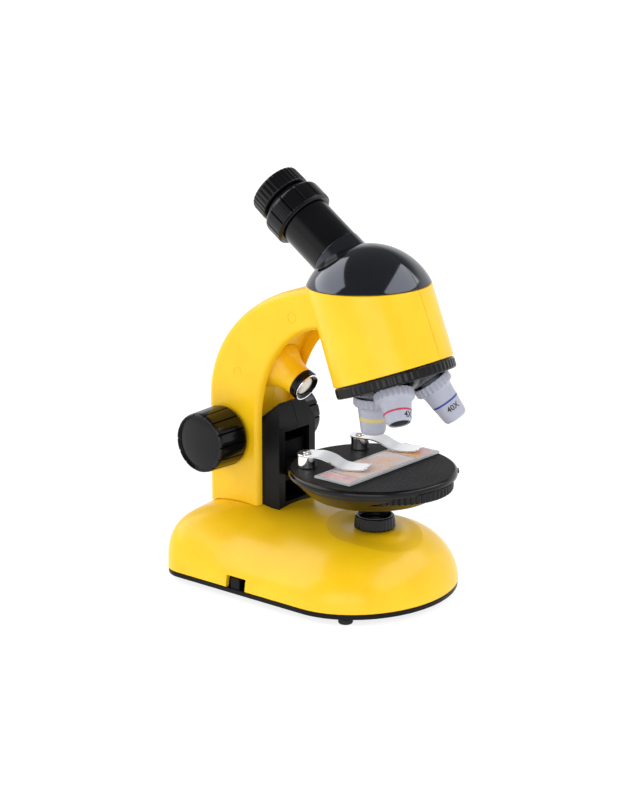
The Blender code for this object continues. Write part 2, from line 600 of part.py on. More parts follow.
# ---- turret and objectives ------------------------------------------------------------------------
def objective_axis(turn):
    """Direction of an objective: the working one points straight down, the others are turned about
    the turret's axis by turn degrees."""
    return Matrix.Rotation(radians(turn), 3, TURRET_AXIS) @ Vector((0, 0, -1))


OBJECTIVES = {"objective_10x": (0, 69.0), "objective_4x": (-120, 66.0), "objective_40x": (120, 73.0)}
SEAT = 49.0                               # radius of the turret's round face about the apex


def make_turret():
    height = (TURRET_CENTRE - APEX).dot(TURRET_AXIS)
    boss = SEAT - height                  # height of the round face at the middle of the turret
    edge = 28.6
    first = degrees(atan2(sqrt(SEAT ** 2 - edge ** 2), edge))
    outer = arc((0, -height), SEAT, first, degrees(atan2(sqrt(SEAT ** 2 - 9), 3)), 5)
    inner = arc((0, -height), SEAT - 2.6, degrees(atan2(sqrt((SEAT - 2.6) ** 2 - 9), 3)), 55.2, 4)
    profile = [(26.5, 0.4), (30.9, 0.4), (31.5, 1.0), (31.5, 5.6), (30.9, 6.2), (29.6, 6.2), (edge, 3.6)]
    profile += outer[1:] + inner[:-1]
    turret = lathe("turret", profile, "black_gloss", TURRET_CENTRE, TURRET_AXIS, 48, (24, 0.5, 2, 3))
    for name, (turn, _) in OBJECTIVES.items():
        drill(turret, f"tool_seat_{name}", APEX, objective_axis(turn), 6.0, 40, 60, 16)
    screw = [(0, -5.0), (1.5, -5.0), (1.5, boss + 0.4), (4.2, boss + 0.4), (4.2, boss + 1.6), (3.2, boss + 2.2)]
    screw += [(0, boss + 2.2)]
    lathe("turret_screw", screw, "steel", TURRET_CENTRE, TURRET_AXIS, 12)


def make_objectives():
    for name, (turn, tip) in OBJECTIVES.items():
        axis = objective_axis(turn)
        profile = [(4.4, 45.0), (5.7, 45.0), (5.7, 51.8), (9.3, 51.8), (9.6, SEAT + GAP), (10.1, SEAT + GAP)]
        profile += [(10.4, 49.9), (10.4, 53.2), (10.0, 54.0), (8.3, 54.9), (7.9, 56.2), (7.2, 61.0)]
        profile += [(6.3, tip - 1.2), (5.5, tip), (4.4, tip)]
        lathe(name, profile, "grey_objective", APEX, axis, 28, (14, 0.5, 6, 7), TURRET_CENTRE)
        lens = [(0, tip - 4.5), (4.1, tip - 4.1), (4.1, tip - 2.4), (0, tip - 1.6)]
        lathe(name.replace("objective", "objective_lens"), lens, "clear", APEX, axis, 12, None, TURRET_CENTRE)


# ---- upper lamp -----------------------------------------------------------------------------------
def make_upper_lamp():
    """The lamp that shines down on the stage from inside the arm's bend."""
    tube = [(6.6, -21.0), (13.6, -21.0), (12.6, -18.5), (9.8, -14.0), (8.4, -9.5), (8.0, -4.5), (6.6, -4.5)]
    housing = lathe("lamp_housing", tube, "yellow_shell", LAMP_FACE, LAMP_AXIS, 24)
    root = channel_outline(CHANNEL_DEPTH - GAP, CHANNEL_DEPTH + 25)
    cut(housing, prism_y("tool_lamp_root", root, -20, 20, "yellow_shell"))
    ring = [(6.6, -4.2), (8.3, -4.2), (8.3, -0.6), (7.9, -0.2), (6.6, -0.2)]
    lathe("lamp_ring", ring, "black_gloss", LAMP_FACE, LAMP_AXIS, 24)
    bezel = [(5.3, -2.8), (6.3, -2.8), (6.3, 0.1), (7.7, 0.1), (7.5, 0.6), (6.2, 0.7), (5.3, -0.6)]
    lathe("lamp_bezel", bezel, "chrome", LAMP_FACE, LAMP_AXIS, 18)
    lathe("lamp_lens", [(0, -2.6), (5.0, -2.6), (5.0, -1.3), (0, -0.4)], "lamp_white", LAMP_FACE, LAMP_AXIS, 16)
    led = [(0, -12.0), (3.0, -12.0), (3.0, -10.5), (2.4, -10.5), (2.4, -6.0), (1.6, -4.2), (0, -3.6)]
    lathe("lamp_led", led, "lamp_white", LAMP_FACE, LAMP_AXIS, 12)


# ---- focusing gear --------------------------------------------------------------------------------
RACK_BACK, RACK_TEETH = -43.5, 10


def make_guide_half(name, side):
    """Half of the black guide that the stage's slider runs in. It stands in the arm's channel."""
    rear, front, shoulder = GUIDE_REAR, GUIDE_FRONT, GUIDE_SHOULDER
    foot = 30.0
    outline = [(rear, foot), (front, foot), (front, shoulder), (GUIDE_RIDGE_X, GUIDE_RIDGE_Z), (rear, 84.0)]
    half = prism_y(name, outline, side * GAP / 2, side * GUIDE_HALF_WIDTH, "black_satin")
    tag = "near" if side < 0 else "far"
    hip = []
    for at_low, at_high in ((20.0, 20.0), (GUIDE_HALF_WIDTH + 0.01, 3.1)):      # flat side, sloping side
        ring = [(rear - 5, side * at_low, 84.0), (front + 5, side * at_low, 84.0)]
        hip.append(ring + [(front + 5, side * at_high, 110.0), (rear - 5, side * at_high, 110.0)])
    cut(half, loft(f"tool_guide_hip_{tag}", hip, "black_satin"))
    back = rear + 1.2
    hollow = [(back, 42.0), (front - 2.0, 42.0), (front - 2.0, shoulder - 1.5), (GUIDE_RIDGE_X, 88.5), (back, 82.0)]
    cut(half, prism_y(f"tool_guide_hollow_{tag}", hollow, -side * 1.0, side * 11.2, "black_satin"))
    cut(half, box(f"tool_guide_window_{tag}", (front - 5, -9.8, 42.0), (front + 5, 9.8, 80.5), "steel"))
    cut(half, box(f"tool_guide_slit_{tag}", (rear - 5, -3.5, 42.0), (rear + 2, 3.5, NECK_ROOM_TOP), "steel"))
    cut(half, domed_solid(f"tool_guide_seat_{tag}", -GAP, -GAP, 0, "black_satin"))
    return half


def make_slider():
    """Slider with the stage's bracket in front and the rack behind."""
    slider = box("stage_slider", (-36.5, -10.8, 52.0), (-24.0, 10.8, 74.0), "black_satin", 0.5)
    join(slider, box("tool_bracket", (-25.0, -9.2, 57.0), (-6.5, 9.2, 64.9), "black_satin"))
    root = KNOB_X + PITCH_RADIUS + 1.25 * MODULE
    tip = root - 2.0 * MODULE
    pitch = pi * MODULE
    outline = [(RACK_BACK, KNOB_Z - 5 * pitch), (RACK_BACK, KNOB_Z + 5 * pitch), (root, KNOB_Z + 5 * pitch)]
    for index in range(RACK_TEETH):
        z = KNOB_Z + (4.5 - index) * pitch
        outline += [(root, z + 1.0), (tip, z + 0.28), (tip, z - 0.28), (root, z - 1.0)]
    outline.append((root, KNOB_Z - 5 * pitch))
    join(slider, prism_y("tool_rack", outline, -3.6, 3.6, "black_satin"))
    join(slider, box("tool_rack_neck", (RACK_BACK - 1, -3.0, 60.5), (-36.0, 3.0, 73.0), "black_satin"))
    return slider


def make_pinion():
    """Shaft with the pinion in its middle, from knob to knob."""
    place = axis_frame((KNOB_X, 0, KNOB_Z), (0, 1, 0))
    root, tip = PITCH_RADIUS - 1.15, PITCH_RADIUS + 0.75
    ring = []
    for k in range(PINION_TEETH):
        middle = 2 * pi * k / PINION_TEETH
        ring += [(middle - 0.22, root), (middle - 0.06, tip), (middle + 0.06, tip), (middle + 0.22, root)]
    rings = []
    for height in (-3.4, 3.4):
        rings.append([place @ Vector((r * cos(angle), r * sin(angle), height)) for angle, r in ring])
    pinion = loft("pinion_shaft", rings, "black_satin", (KNOB_X, 0, KNOB_Z))
    rod = [(0, -38.0), (2.5, -38.0), (2.5, 38.0), (0, 38.0)]
    join(pinion, lathe("tool_pinion_rod", rod, "black_satin", (KNOB_X, 0, KNOB_Z), (0, 1, 0), 20))
    return pinion


def make_knobs():
    for side, tag in ((-1, "near"), (1, "far")):
        origin = (KNOB_X, 0, KNOB_Z)
        axis = (0, side, 0)
        profile = [(2.8, 20.2), (15.6, 20.2), (16.5, 21.2), (15.9, 39.4), (15.2, 40.4), (13.6, 40.5)]
        profile += [(0, 41.0), (0, 38.5), (2.8, 38.5)]
        lathe(f"focus_knob_{tag}", profile, "black_gloss", origin, axis, 42, (14, 0.45, 2, 3))


# ---- stage ----------------------------------------------------------------------------------------
RIVET_TOP = 66.3                          # top of the clip posts' rivet heads, sunk into the stage
WHEEL_TOP = 66.4                          # the wheel turns in a pocket in the stage's underside


def make_stage():
    profile = [(4.5, STAGE_UNDERSIDE), (42.6, STAGE_UNDERSIDE), (43.6, 65.9), (44.0, 67.2), (43.6, 68.7)]
    profile += [(42.6, STAGE_TOP), (4.5, STAGE_TOP)]
    stage = lathe("stage", profile, "black_satin", (STAGE_X, 0, 0), (0, 0, 1), 40)
    drill(stage, "tool_wheel_room", (WHEEL_X, 0, 0), (0, 0, 1), WHEEL_RADIUS + 0.6, 60, WHEEL_TOP + GAP, 40)
    for tag, side in (("near", -1), ("far", 1)):
        spot = (POST_X, side * POST_Y, 0)
        drill(stage, f"tool_post_hole_{tag}", spot, (0, 0, 1), 2.0, 60, 80, 12)
        drill(stage, f"tool_post_sink_{tag}", spot, (0, 0, 1), 3.2, 60, RIVET_TOP + GAP, 12)
    return stage


def make_bowl():
    """Shallow drum under the stage that carries the aperture wheel."""
    profile = [(8.0, 55.4), (31.4, 55.4), (33.4, 56.4), (38.4, 61.0), (41.0, 63.6), (41.6, 64.9), (39.4, 64.9)]
    profile += [(39.0, 64.2), (36.6, 61.8), (31.8, 57.6), (8.0, 57.6)]
    bowl = lathe("stage_bowl", profile, "black_gloss", (STAGE_X, 0, 0), (0, 0, 1), 36)
    drill(bowl, "tool_wheel_slot", (WHEEL_X, 0, 0), (0, 0, 1), WHEEL_RADIUS + 0.6, 60.5, 70, 40)
    pin = [(0, 57.0), (3.6, 57.0), (3.6, 60.2), (2.4, 60.2), (2.4, WHEEL_TOP), (0, WHEEL_TOP)]
    join(bowl, lathe("tool_wheel_pin", pin, "black_gloss", (WHEEL_X, 0, 0), (0, 0, 1), 16))
    cut(bowl, box("tool_bracket_room", (-20, -9.5, 56.7), (-6.2, 9.5, 70), "steel"))
    return bowl


def make_wheel():
    """Aperture wheel: five light holes of different size on a circle through the stage's axis."""
    profile = [(2.7, 61.0), (31.4, 61.0), (32.0, 61.5), (32.0, 66.0), (31.4, WHEEL_TOP), (2.7, WHEEL_TOP)]
    wheel = lathe("aperture_wheel", profile, "black_satin", (WHEEL_X, 0, 0), (0, 0, 1), 52, (26, 0.6, 2, 3))
    reach = WHEEL_X - STAGE_X
    for index, radius in enumerate((4.5, 3.6, 2.8, 2.0, 1.3)):
        turn = pi + 2 * pi * index / 5
        centre = (WHEEL_X + reach * cos(turn), reach * sin(turn), 0)
        drill(wheel, f"tool_aperture_{index}", centre, (0, 0, 1), radius, 50, 80, 12)
    return wheel


CLIP_TURN = radians(22)                   # both leaves point this far from straight ahead, to the far side
SLIDE_TOP = STAGE_TOP + GAP + 1.3


def make_clip(tag, side):
    """Sprung leaf: flat round its post, stepped down to press on the slide, with an upturned tip."""
    forward = Vector((cos(CLIP_TURN), sin(CLIP_TURN), 0))
    across = Vector((-sin(CLIP_TURN), cos(CLIP_TURN), 0))
    post = Vector((POST_X, side * POST_Y, 0))
    low = SLIDE_TOP + GAP
    stations = [(-4.9, 76.4, 2.6), (-3.4, 76.4, 4.6), (0.0, 76.4, 5.8), (4.0, 76.4, 6.6), (8.0, 76.4, 7.0)]
    stations += [(13.5, 74.9, 7.2), (19.0, low + 0.7, 7.0), (24.0, low, 6.7), (29.0, low + 0.1, 6.3)]
    stations += [(31.8, low + 0.5, 5.9), (33.6, low + 1.3, 5.0)]
    rings = []
    for reach, height, half in stations:
        base = post + forward * reach
        ring = []
        for v, dz in ((-half, 0), (half, 0), (half, 0.7), (-half, 0.7)):
            ring.append(base + across * v + Vector((0, 0, height + dz)))
        rings.append(ring)
    clip = loft(f"stage_clip_{tag}", rings, "chrome", post)
    drill(clip, f"tool_clip_hole_{tag}", post, (0, 0, 1), 1.9, 60, 90, 12)
    return clip


def make_posts():
    for tag, side in (("near", -1), ("far", 1)):
        post = (POST_X, side * POST_Y, 0)
        profile = [(0, STAGE_UNDERSIDE), (2.9, STAGE_UNDERSIDE), (2.9, RIVET_TOP), (1.6, RIVET_TOP)]
        profile += [(1.6, STAGE_TOP + GAP)]
        profile += [(5.0, STAGE_TOP + GAP), (4.6, 76.1), (1.6, 76.1), (1.6, 77.4), (2.6, 77.4), (2.3, 77.8), (0, 78.0)]
        lathe(f"clip_post_{tag}", profile, "chrome", post, (0, 0, 1), 12)
        make_clip(tag, side)


def make_slide():
    x0, x1, y0, y1 = 19.3, 42.3, -34.8, 40.4
    box("specimen_slide", (x0, y0, STAGE_TOP + GAP), (x1, y1, SLIDE_TOP), "clear", 0.3,
        ((x0 + x1) / 2, (y0 + y1) / 2, STAGE_TOP))


def clear_scene():
    for old in list(bpy.data.objects):
        bpy.data.objects.remove(old, do_unlink=True)


def build():
    clear_scene()
    make_base_shell()
    make_base_plate()
    make_base_fittings()
    make_illuminator()
    make_switch()
    for side, tag in ((-1, "near"), (1, "far")):
        make_arm_half(f"arm_shell_{tag}", side)
        make_dome_half(f"dome_{tag}", side)
        make_guide_half(f"slider_guide_{tag}", side)
    make_arm_screws()
    make_eyepiece()
    make_mirror()
    make_turret()
    make_objectives()
    make_upper_lamp()
    make_slider()
    make_pinion()
    make_knobs()
    make_stage()
    make_bowl()
    make_wheel()
    make_posts()
    make_slide()


build()
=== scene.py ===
from math import acos, atan2, cos, degrees, hypot, pi, radians, sin, sqrt

import bmesh
import bpy
from mathutils import Matrix, Vector


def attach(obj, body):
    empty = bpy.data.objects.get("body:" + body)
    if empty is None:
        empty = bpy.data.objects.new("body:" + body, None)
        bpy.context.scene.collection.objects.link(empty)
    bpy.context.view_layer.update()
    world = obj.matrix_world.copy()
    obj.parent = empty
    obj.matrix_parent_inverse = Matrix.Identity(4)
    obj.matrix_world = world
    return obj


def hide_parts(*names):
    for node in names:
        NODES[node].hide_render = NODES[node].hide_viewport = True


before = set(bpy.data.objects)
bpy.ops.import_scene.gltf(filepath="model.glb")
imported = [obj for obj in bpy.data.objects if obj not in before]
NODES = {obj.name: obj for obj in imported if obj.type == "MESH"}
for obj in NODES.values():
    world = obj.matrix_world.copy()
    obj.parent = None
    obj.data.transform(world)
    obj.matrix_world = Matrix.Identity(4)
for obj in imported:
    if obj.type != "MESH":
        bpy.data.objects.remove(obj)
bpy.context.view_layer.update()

MM = 0.001
GAP = 0.3  # clearance between two pieces that meet

# ---- driving dimensions, the same as the frame's ----
FOOT_HEIGHT, PLATE_THICKNESS = 3.0, 2.6
SHELL_BOTTOM = FOOT_HEIGHT + PLATE_THICKNESS + GAP
BASE_REAR, BASE_FRONT, BASE_HALF_WIDTH, BASE_CORNER, NOSE_START = -73.9, 70.7, 53.3, 14.0, 25.6
BASE_CROWN = 40.0
SPINE = (-26.0, 30.0)  # the stretch of the middle line that the base is crowned about
NOSE_POWER, REAR_POWER, SIDE_POWER = 1.75, 5.0, 2.0
SHELL_WALL = 2.2
DISH_RADIUS, DISH_DEPTH = 25.0, 2.4
LANDING_Z, LANDING_RADIUS, LANDING_BLEND = 37.2, 11.4, 8.0
SCREW_SPOTS = [(x, y) for x in (-58.0, 40.0) for y in (-30.0, 30.0)]
COUNTERBORE = 1.4  # how deep the base screws' heads sit in the plate
ARM_SCREW_X, ARM_SCREW_Y = -46.0, 11.5
FOOT_SPOTS = [(x, y) for x in (-62.0, 45.9) for y in (-42.0, 42.0)]
BAY_REAR, BAY_FRONT, BAY_HALF_WIDTH, BAY_WALL = -56.0, -1.0, 16.1, 1.6
DOOR_SCREW = (BAY_FRONT - 5, 0, 0)
NOTCH = (-25.3, -12.2, 12.4)  # x from, x to, height of its top
SWITCH_X, SWITCH_HALF = -19.8, 3.1

STAGE_X, STAGE_TOP, STAGE_UNDERSIDE = 29.7, 69.5, 65.2
WHEEL_X, WHEEL_RADIUS = 41.9, 32.0
WHEEL_ROOM = WHEEL_RADIUS + 0.6
TAB_TURN = radians(40)  # where the small tab on the stage's rim stands
POST_X, POST_Y, RIVET_TOP = 3.7, 21.5, 66.3
WHEEL_TOP = 66.4  # the wheel turns in a pocket in the stage's underside
CUP_X = 31.2
CLIP_TURN = radians(22)
SLIDE_TOP = STAGE_TOP + GAP + 1.3

ARM_HALF_WIDTH, ARM_EDGE, ARM_WALL = 18.5, 4.5, 2.4
ARM_OUTER = (27.3, 95.4, 94.8, 71.2)  # centre x, half axis x, centre z, half axis z
ARM_INNER = (12.8, 45.6, 85.6, 56.6)
ARM_FOOT, ARM_END = 26.0, 12.0  # height where the arm starts, x where it ends in the head
CUT_FOOT, CHANNEL_END = 20.0, 2.0
PLUG_SPOTS = ((-9.1, 145.8), (-46.3, 110.8))
CHANNEL_DEPTH, CHANNEL_HALF_WIDTH = 6.0, 15.0
KNOB = Vector((-54.6, 0, 75.2))
RIM_CENTRE, RIM_RADIUS, RIM_TILT = Vector((26.2, 0, 165.9)), 32.0, radians(-2.6)
TURRET_CENTRE, TURRET_RADIUS, TURRET_TILT = Vector((42.7, 0, 122.6)), 31.6, radians(-20.8)
TURRET_AXIS = Vector((-sin(TURRET_TILT), 0, -cos(TURRET_TILT)))
RIM_AXIS = Vector((sin(RIM_TILT), 0, cos(RIM_TILT)))
APEX = Vector((STAGE_X, 0, 156.8))  # the three objective axes meet here
DOME_DROP = 15.6
EYE_POINT, EYE_AXIS = Vector((7.6, 0, 176.7)), Vector((-0.819, 0, 0.574)).normalized()
TUBE_RADIUS = 13.9
LAMP_FACE, LAMP_PITCH = Vector((-14.9, 0, 104.2)), radians(26)
LAMP_AXIS = Vector((cos(LAMP_PITCH), 0, -sin(LAMP_PITCH)))
GUIDE_FRONT, GUIDE_REAR, GUIDE_HALF_WIDTH = -21.3, -38.0, 14.7
GUIDE_SHOULDER, GUIDE_RIDGE_X, GUIDE_RIDGE_Z = 84.8, -25.6, 95.4
NECK_ROOM_TOP = 82.0  # the rack's neck rises to just under this height
SEAT = 49.0  # radius of the turret's round face about the apex
BODY_START, BODY_RADIUS, BODY_TAPER, TIP_ROUNDING = 56.0, 8.0, 1.6, 1.2  # an objective's body
OBJECTIVES = {"10x": (0, 69.0), "4x": (-120, 66.0), "40x": (120, 73.0)}  # turn, reach of the tip
UP, NEAR, FAR = Vector((0, 0, 1)), Vector((0, -1, 0)), Vector((0, 1, 0))
SIDES = ((-1, "near"), (1, "far"))
YELLOW, GLOSS, SATIN = "yellow_shell", "black_gloss", "black_satin"


# ---- materials ----
def surface_of(name, colours, roughness, grain, bump, patch=60.0, stretch=(1, 1, 1), **sockets):
    """A material whose colour wanders between two values over patches and its roughness over specks, under a
    fine bump. grain and patch are noise scales in features per metre; bump is its height in millimetres."""
    made = bpy.data.materials.new(name)
    made.use_nodes = True
    nodes, links = made.node_tree.nodes, made.node_tree.links
    shader = nodes["Principled BSDF"]

    def add(kind, **values):
        node = nodes.new("ShaderNode" + kind)
        for socket, value in values.items():
            node.inputs[socket.replace("_", " ")].default_value = value
        return node

    def noise(scale, detail, rough=0.5):
        node = add("TexNoise", Scale=scale, Detail=detail, Roughness=rough)
        links.new(scaled.outputs["Vector"], node.inputs["Vector"])
        return node

    place = add("TexCoord")
    scaled = add("Mapping", Scale=stretch)
    links.new(place.outputs["Object"], scaled.inputs["Vector"])

    broad, fine, specks = noise(patch, 3), noise(grain, 3, 0.6), noise(grain * 0.37, 4)
    ramp = add("ValToRGB")
    for element, at, colour in zip(ramp.color_ramp.elements, (0.32, 0.68), colours):
        element.position = at
        element.color = (*colour, 1)
    links.new(broad.outputs["Fac"], ramp.inputs["Fac"])
    links.new(ramp.outputs["Color"], shader.inputs["Base Color"])
    spread = add("MapRange", From_Min=0.3, From_Max=0.7, To_Min=roughness[0], To_Max=roughness[1])
    links.new(specks.outputs["Fac"], spread.inputs["Value"])
    links.new(spread.outputs["Result"], shader.inputs["Roughness"])
    raised = add("Bump", Strength=1.0, Distance=bump * MM)
    links.new(fine.outputs["Fac"], raised.inputs["Height"])
    links.new(raised.outputs["Normal"], shader.inputs["Normal"])
    for socket, value in sockets.items():
        shader.inputs[socket.replace("_", " ")].default_value = value
    return made


LOOKS = {
    YELLOW: surface_of(
        "yellow_plastic", ((0.96, 0.57, 0.005), (1.0, 0.615, 0.010)), (0.30, 0.38), 2600, 0.012,
        Specular_IOR_Level=0.30, Coat_Weight=0.2, Coat_Roughness=0.16),
    GLOSS: surface_of(
        "black_plastic_gloss", ((0.0022, 0.0022, 0.0030), (0.0042, 0.0042, 0.0054)), (0.12, 0.18), 2200,
        0.004, Specular_IOR_Level=0.27),
    SATIN: surface_of(
        "black_plastic_satin", ((0.0026, 0.0026, 0.0030), (0.0050, 0.0050, 0.0058)), (0.32, 0.42), 3200,
        0.015, Specular_IOR_Level=0.16),
    "grey_objective": surface_of(
        "grey_plastic", ((0.40, 0.41, 0.49), (0.44, 0.45, 0.53)), (0.26, 0.32), 2400, 0.004, patch=25.0,
        Specular_IOR_Level=0.45),
    "chrome": surface_of(
        "chrome", ((0.86, 0.86, 0.88), (0.93, 0.93, 0.95)), (0.06, 0.12), 900, 0.003, Metallic=1.0),
    "steel": surface_of(
        "steel", ((0.44, 0.44, 0.45), (0.60, 0.60, 0.61)), (0.24, 0.42), 1500, 0.01, stretch=(1, 1, 0.2),
        Metallic=1.0),
    "rubber": surface_of(
        "rubber", ((0.012, 0.012, 0.012), (0.024, 0.024, 0.023)), (0.72, 0.92), 1800, 0.05,
        Specular_IOR_Level=0.3),
    "clear": surface_of(
        "clear_plastic", ((0.96, 0.97, 0.98), (1.0, 1.0, 1.0)), (0.01, 0.05), 700, 0.002,
        Transmission_Weight=1.0, IOR=1.49),
    "lamp_white": surface_of(
        "lamp_white", ((0.90, 0.86, 0.76), (0.97, 0.94, 0.86)), (0.14, 0.24), 1200, 0.006, Coat_Weight=0.5),
    "battery": surface_of(
        "battery_jacket", ((0.05, 0.05, 0.06), (0.11, 0.11, 0.12)), (0.22, 0.34), 700, 0.01,
        stretch=(0.2, 1, 1), Metallic=0.5),
    "mirror": surface_of(
        "mirror_silver", ((0.90, 0.90, 0.92), (0.95, 0.95, 0.96)), (0.01, 0.04), 500, 0.001, Metallic=1.0),
}
STAGE_GRAIN = surface_of(
    "stage_grain", ((0.006, 0.006, 0.007), (0.012, 0.012, 0.014)), (0.46, 0.62), 2100, 0.07,
    Specular_IOR_Level=0.15)
PIANO_BLACK = surface_of(
    "piano_black", ((0.0030, 0.0030, 0.0036), (0.0050, 0.0050, 0.0060)), (0.07, 0.11), 1800, 0.001,
    Specular_IOR_Level=0.90, Specular_Tint=(0.80, 0.84, 1.0, 1))
# painted shade: a darker, duller copy of the satin black that stands in for the shade inside the slider guide
SHADED_SLIDER_BLACK = surface_of(
    "slider_painted_shade", ((0.0010, 0.0010, 0.0012), (0.0022, 0.0022, 0.0024)), (0.5, 0.6), 2400, 0.01,
    Specular_IOR_Level=0.08)
DARK_GREY = surface_of("dark_grey", ((0.045, 0.045, 0.050), (0.075, 0.075, 0.082)), (0.35, 0.50), 2400, 0.01)
RED_INK = surface_of("red_ink", ((0.48, 0.020, 0.070), (0.56, 0.030, 0.090)), (0.34, 0.46), 2600, 0.006)
BLUE_INK = surface_of("blue_ink", ((0.007, 0.040, 0.27), (0.010, 0.052, 0.33)), (0.34, 0.46), 2600, 0.006)
SAND_INK = surface_of("sand_ink", ((0.62, 0.50, 0.17), (0.72, 0.60, 0.22)), (0.34, 0.46), 2600, 0.006)
BLACK_INK = surface_of("black_ink", ((0.010, 0.010, 0.012), (0.020, 0.020, 0.022)), (0.40, 0.55), 2600, 0.006)
SLIDE_PLASTIC = surface_of(
    "slide_plastic", ((0.78, 0.80, 0.83), (0.86, 0.88, 0.90)), (0.10, 0.18), 900, 0.003,
    Transmission_Weight=0.45, IOR=1.45)
PINK_FILM = surface_of(
    "pink_film", ((0.66, 0.36, 0.38), (0.78, 0.50, 0.50)), (0.25, 0.40), 1500, 0.01, patch=220)
ORANGE_FILM = surface_of(
    "orange_film", ((0.76, 0.36, 0.13), (0.84, 0.48, 0.22)), (0.25, 0.40), 1500, 0.01, patch=220)
PEACH_FILM = surface_of(
    "peach_film", ((0.80, 0.50, 0.34), (0.66, 0.64, 0.68)), (0.25, 0.40), 1500, 0.01, patch=110)


# ---- mesh helpers ----
def in_scene(name, data):
    """A new object in the scene."""
    made = bpy.data.objects.new(name, data)
    bpy.context.scene.collection.objects.link(made)
    return made


def solid(name, bm):
    """An object in millimetres from a bmesh."""
    bmesh.ops.remove_doubles(bm, verts=bm.verts, dist=1e-4)
    bmesh.ops.recalc_face_normals(bm, faces=bm.faces)
    mesh = bpy.data.meshes.new(name)
    bm.to_mesh(mesh)
    bm.free()
    return in_scene(name, mesh)


def seen_mesh(target):
    """A new mesh of target as it looks, with its modifiers or as filled text."""
    bpy.context.view_layer.update()
    seen = target.evaluated_get(bpy.context.evaluated_depsgraph_get())
    return bpy.data.meshes.new_from_object(seen)


def bake(target):
    """Put the result of target's modifiers into its mesh."""
    mesh = seen_mesh(target)
    target.modifiers.clear()
    target.data = mesh
    return target


def combine(target, operation, tools, solver="EXACT"):
    """Boolean target with each tool in turn, and remove the tools."""
    for tool in tools:
        step = target.modifiers.new("step", "BOOLEAN")
        step.operation = operation
        step.object = tool
        step.solver = solver
    bake(target)
    for tool in tools:
        bpy.data.objects.remove(tool)
    return target


def cut(target, *tools, solver="EXACT"):
    return combine(target, "DIFFERENCE", tools, solver)


def join(target, *tools, solver="EXACT"):
    return combine(target, "UNION", tools, solver)


def round_edges(target, width, steps=2, limit=35):
    """Bevel every edge sharper than limit degrees."""
    edge = target.modifiers.new("edges", "BEVEL")
    edge.width = width
    edge.segments = steps
    edge.limit_method = "ANGLE"
    edge.angle_limit = radians(limit)
    return bake(target)


def finish(made, body, slot, *nodes, look=None, sharp=32):
    """Turn the piece into metres, shade it, give it its material and put it on its body."""
    made.data.transform(Matrix.Scale(MM, 4))
    made.data.shade_smooth()
    made.data.set_sharp_from_angle(angle=radians(sharp))
    made.data.materials.clear()
    made.data.materials.append(look or LOOKS[slot])
    fair = made.modifiers.new("normals", "WEIGHTED_NORMAL")
    fair.keep_sharp = True
    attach(made, body)
    if nodes:
        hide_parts(*nodes)
    return made


def repaint(made, look, test):
    """Give another material to the faces that pass test, which gets a middle in millimetres and a normal."""
    made.data.materials.append(look)
    for face in made.data.polygons:
        if test(face.center / MM, face.normal):
            face.material_index = len(made.data.materials) - 1


def skin(bm, rings):
    """Join equally long closed rings one to the next, cap the first, and give back their rows of vertices."""
    rows = [[bm.verts.new(point) for point in ring] for ring in rings]
    count = len(rows[0])
    for lower, upper in zip(rows, rows[1:]):
        for i in range(count):
            j = (i + 1) % count
            bm.faces.new((lower[i], lower[j], upper[j], upper[i]))
    bm.faces.new(rows[0])
    return rows


def loft(name, rings):
    """Skin a list of equally long closed rings and cap both ends."""
    bm = bmesh.new()
    rows = skin(bm, rings)
    bm.faces.new(rows[-1])
    return solid(name, bm)


def box(low, high, name="tool_box"):
    (x0, y0, z0), (x1, y1, z1) = low, high
    return loft(name, [[(x0, y0, z), (x1, y0, z), (x1, y1, z), (x0, y1, z)] for z in (z0, z1)])


def prism(outline, y0, y1, name="tool_prism"):
    """A flat (x, z) outline pulled from y0 to y1."""
    return loft(name, [[(x, y, z) for x, z in outline] for y in (y0, y1)])


def axis_frame(origin, axis):
    """Matrix that stands local +Z on axis, with local +Y along the object's +Y where it can be."""
    z = Vector(axis).normalized()
    side = Vector((0, 1, 0)) if abs(z.y) < 0.9 else UP
    x = side.cross(z).normalized()
    turn = Matrix((x, z.cross(x), z)).transposed().to_4x4()
    return Matrix.Translation(Vector(origin)) @ turn


def soften(corners, steps=3):
    """Round the corners of a closed profile. A corner is (radius, height, rounding, rib depth)."""
    outline = []
    for i, corner in enumerate(corners):
        r, h, size, depth = (*corner, 0, 0)[:4]
        here = Vector((r, h))
        before = Vector(corners[i - 1][:2]) - here
        after = Vector(corners[(i + 1) % len(corners)][:2]) - here
        reach = min(size, 0.45 * before.length, 0.45 * after.length)
        if reach < 0.02:
            outline.append((r, h, depth))
            continue
        start, end = here + before.normalized() * reach, here + after.normalized() * reach
        for k in range(steps + 1):
            t = k / steps
            point = start * (1 - t) ** 2 + here * (2 * t * (1 - t)) + end * t ** 2
            outline.append((point.x, point.y, depth))
    return outline


def plain_turns(count):
    """Angles round a plain turned body, each with no rib."""
    return [(2 * pi * (k + 0.5) / count, 0.0) for k in range(count)]


def fluted_turns(count, steps=8, power=0.6):
    """count round ribs with narrow valleys between them. The second value is the share of the rib depth."""
    turns = []
    for k in range(count * steps):
        valley = 1 - sin(pi * ((k + 0.5) % steps) / steps) ** power
        turns.append((2 * pi * (k + 0.5) / (count * steps), valley))
    return turns


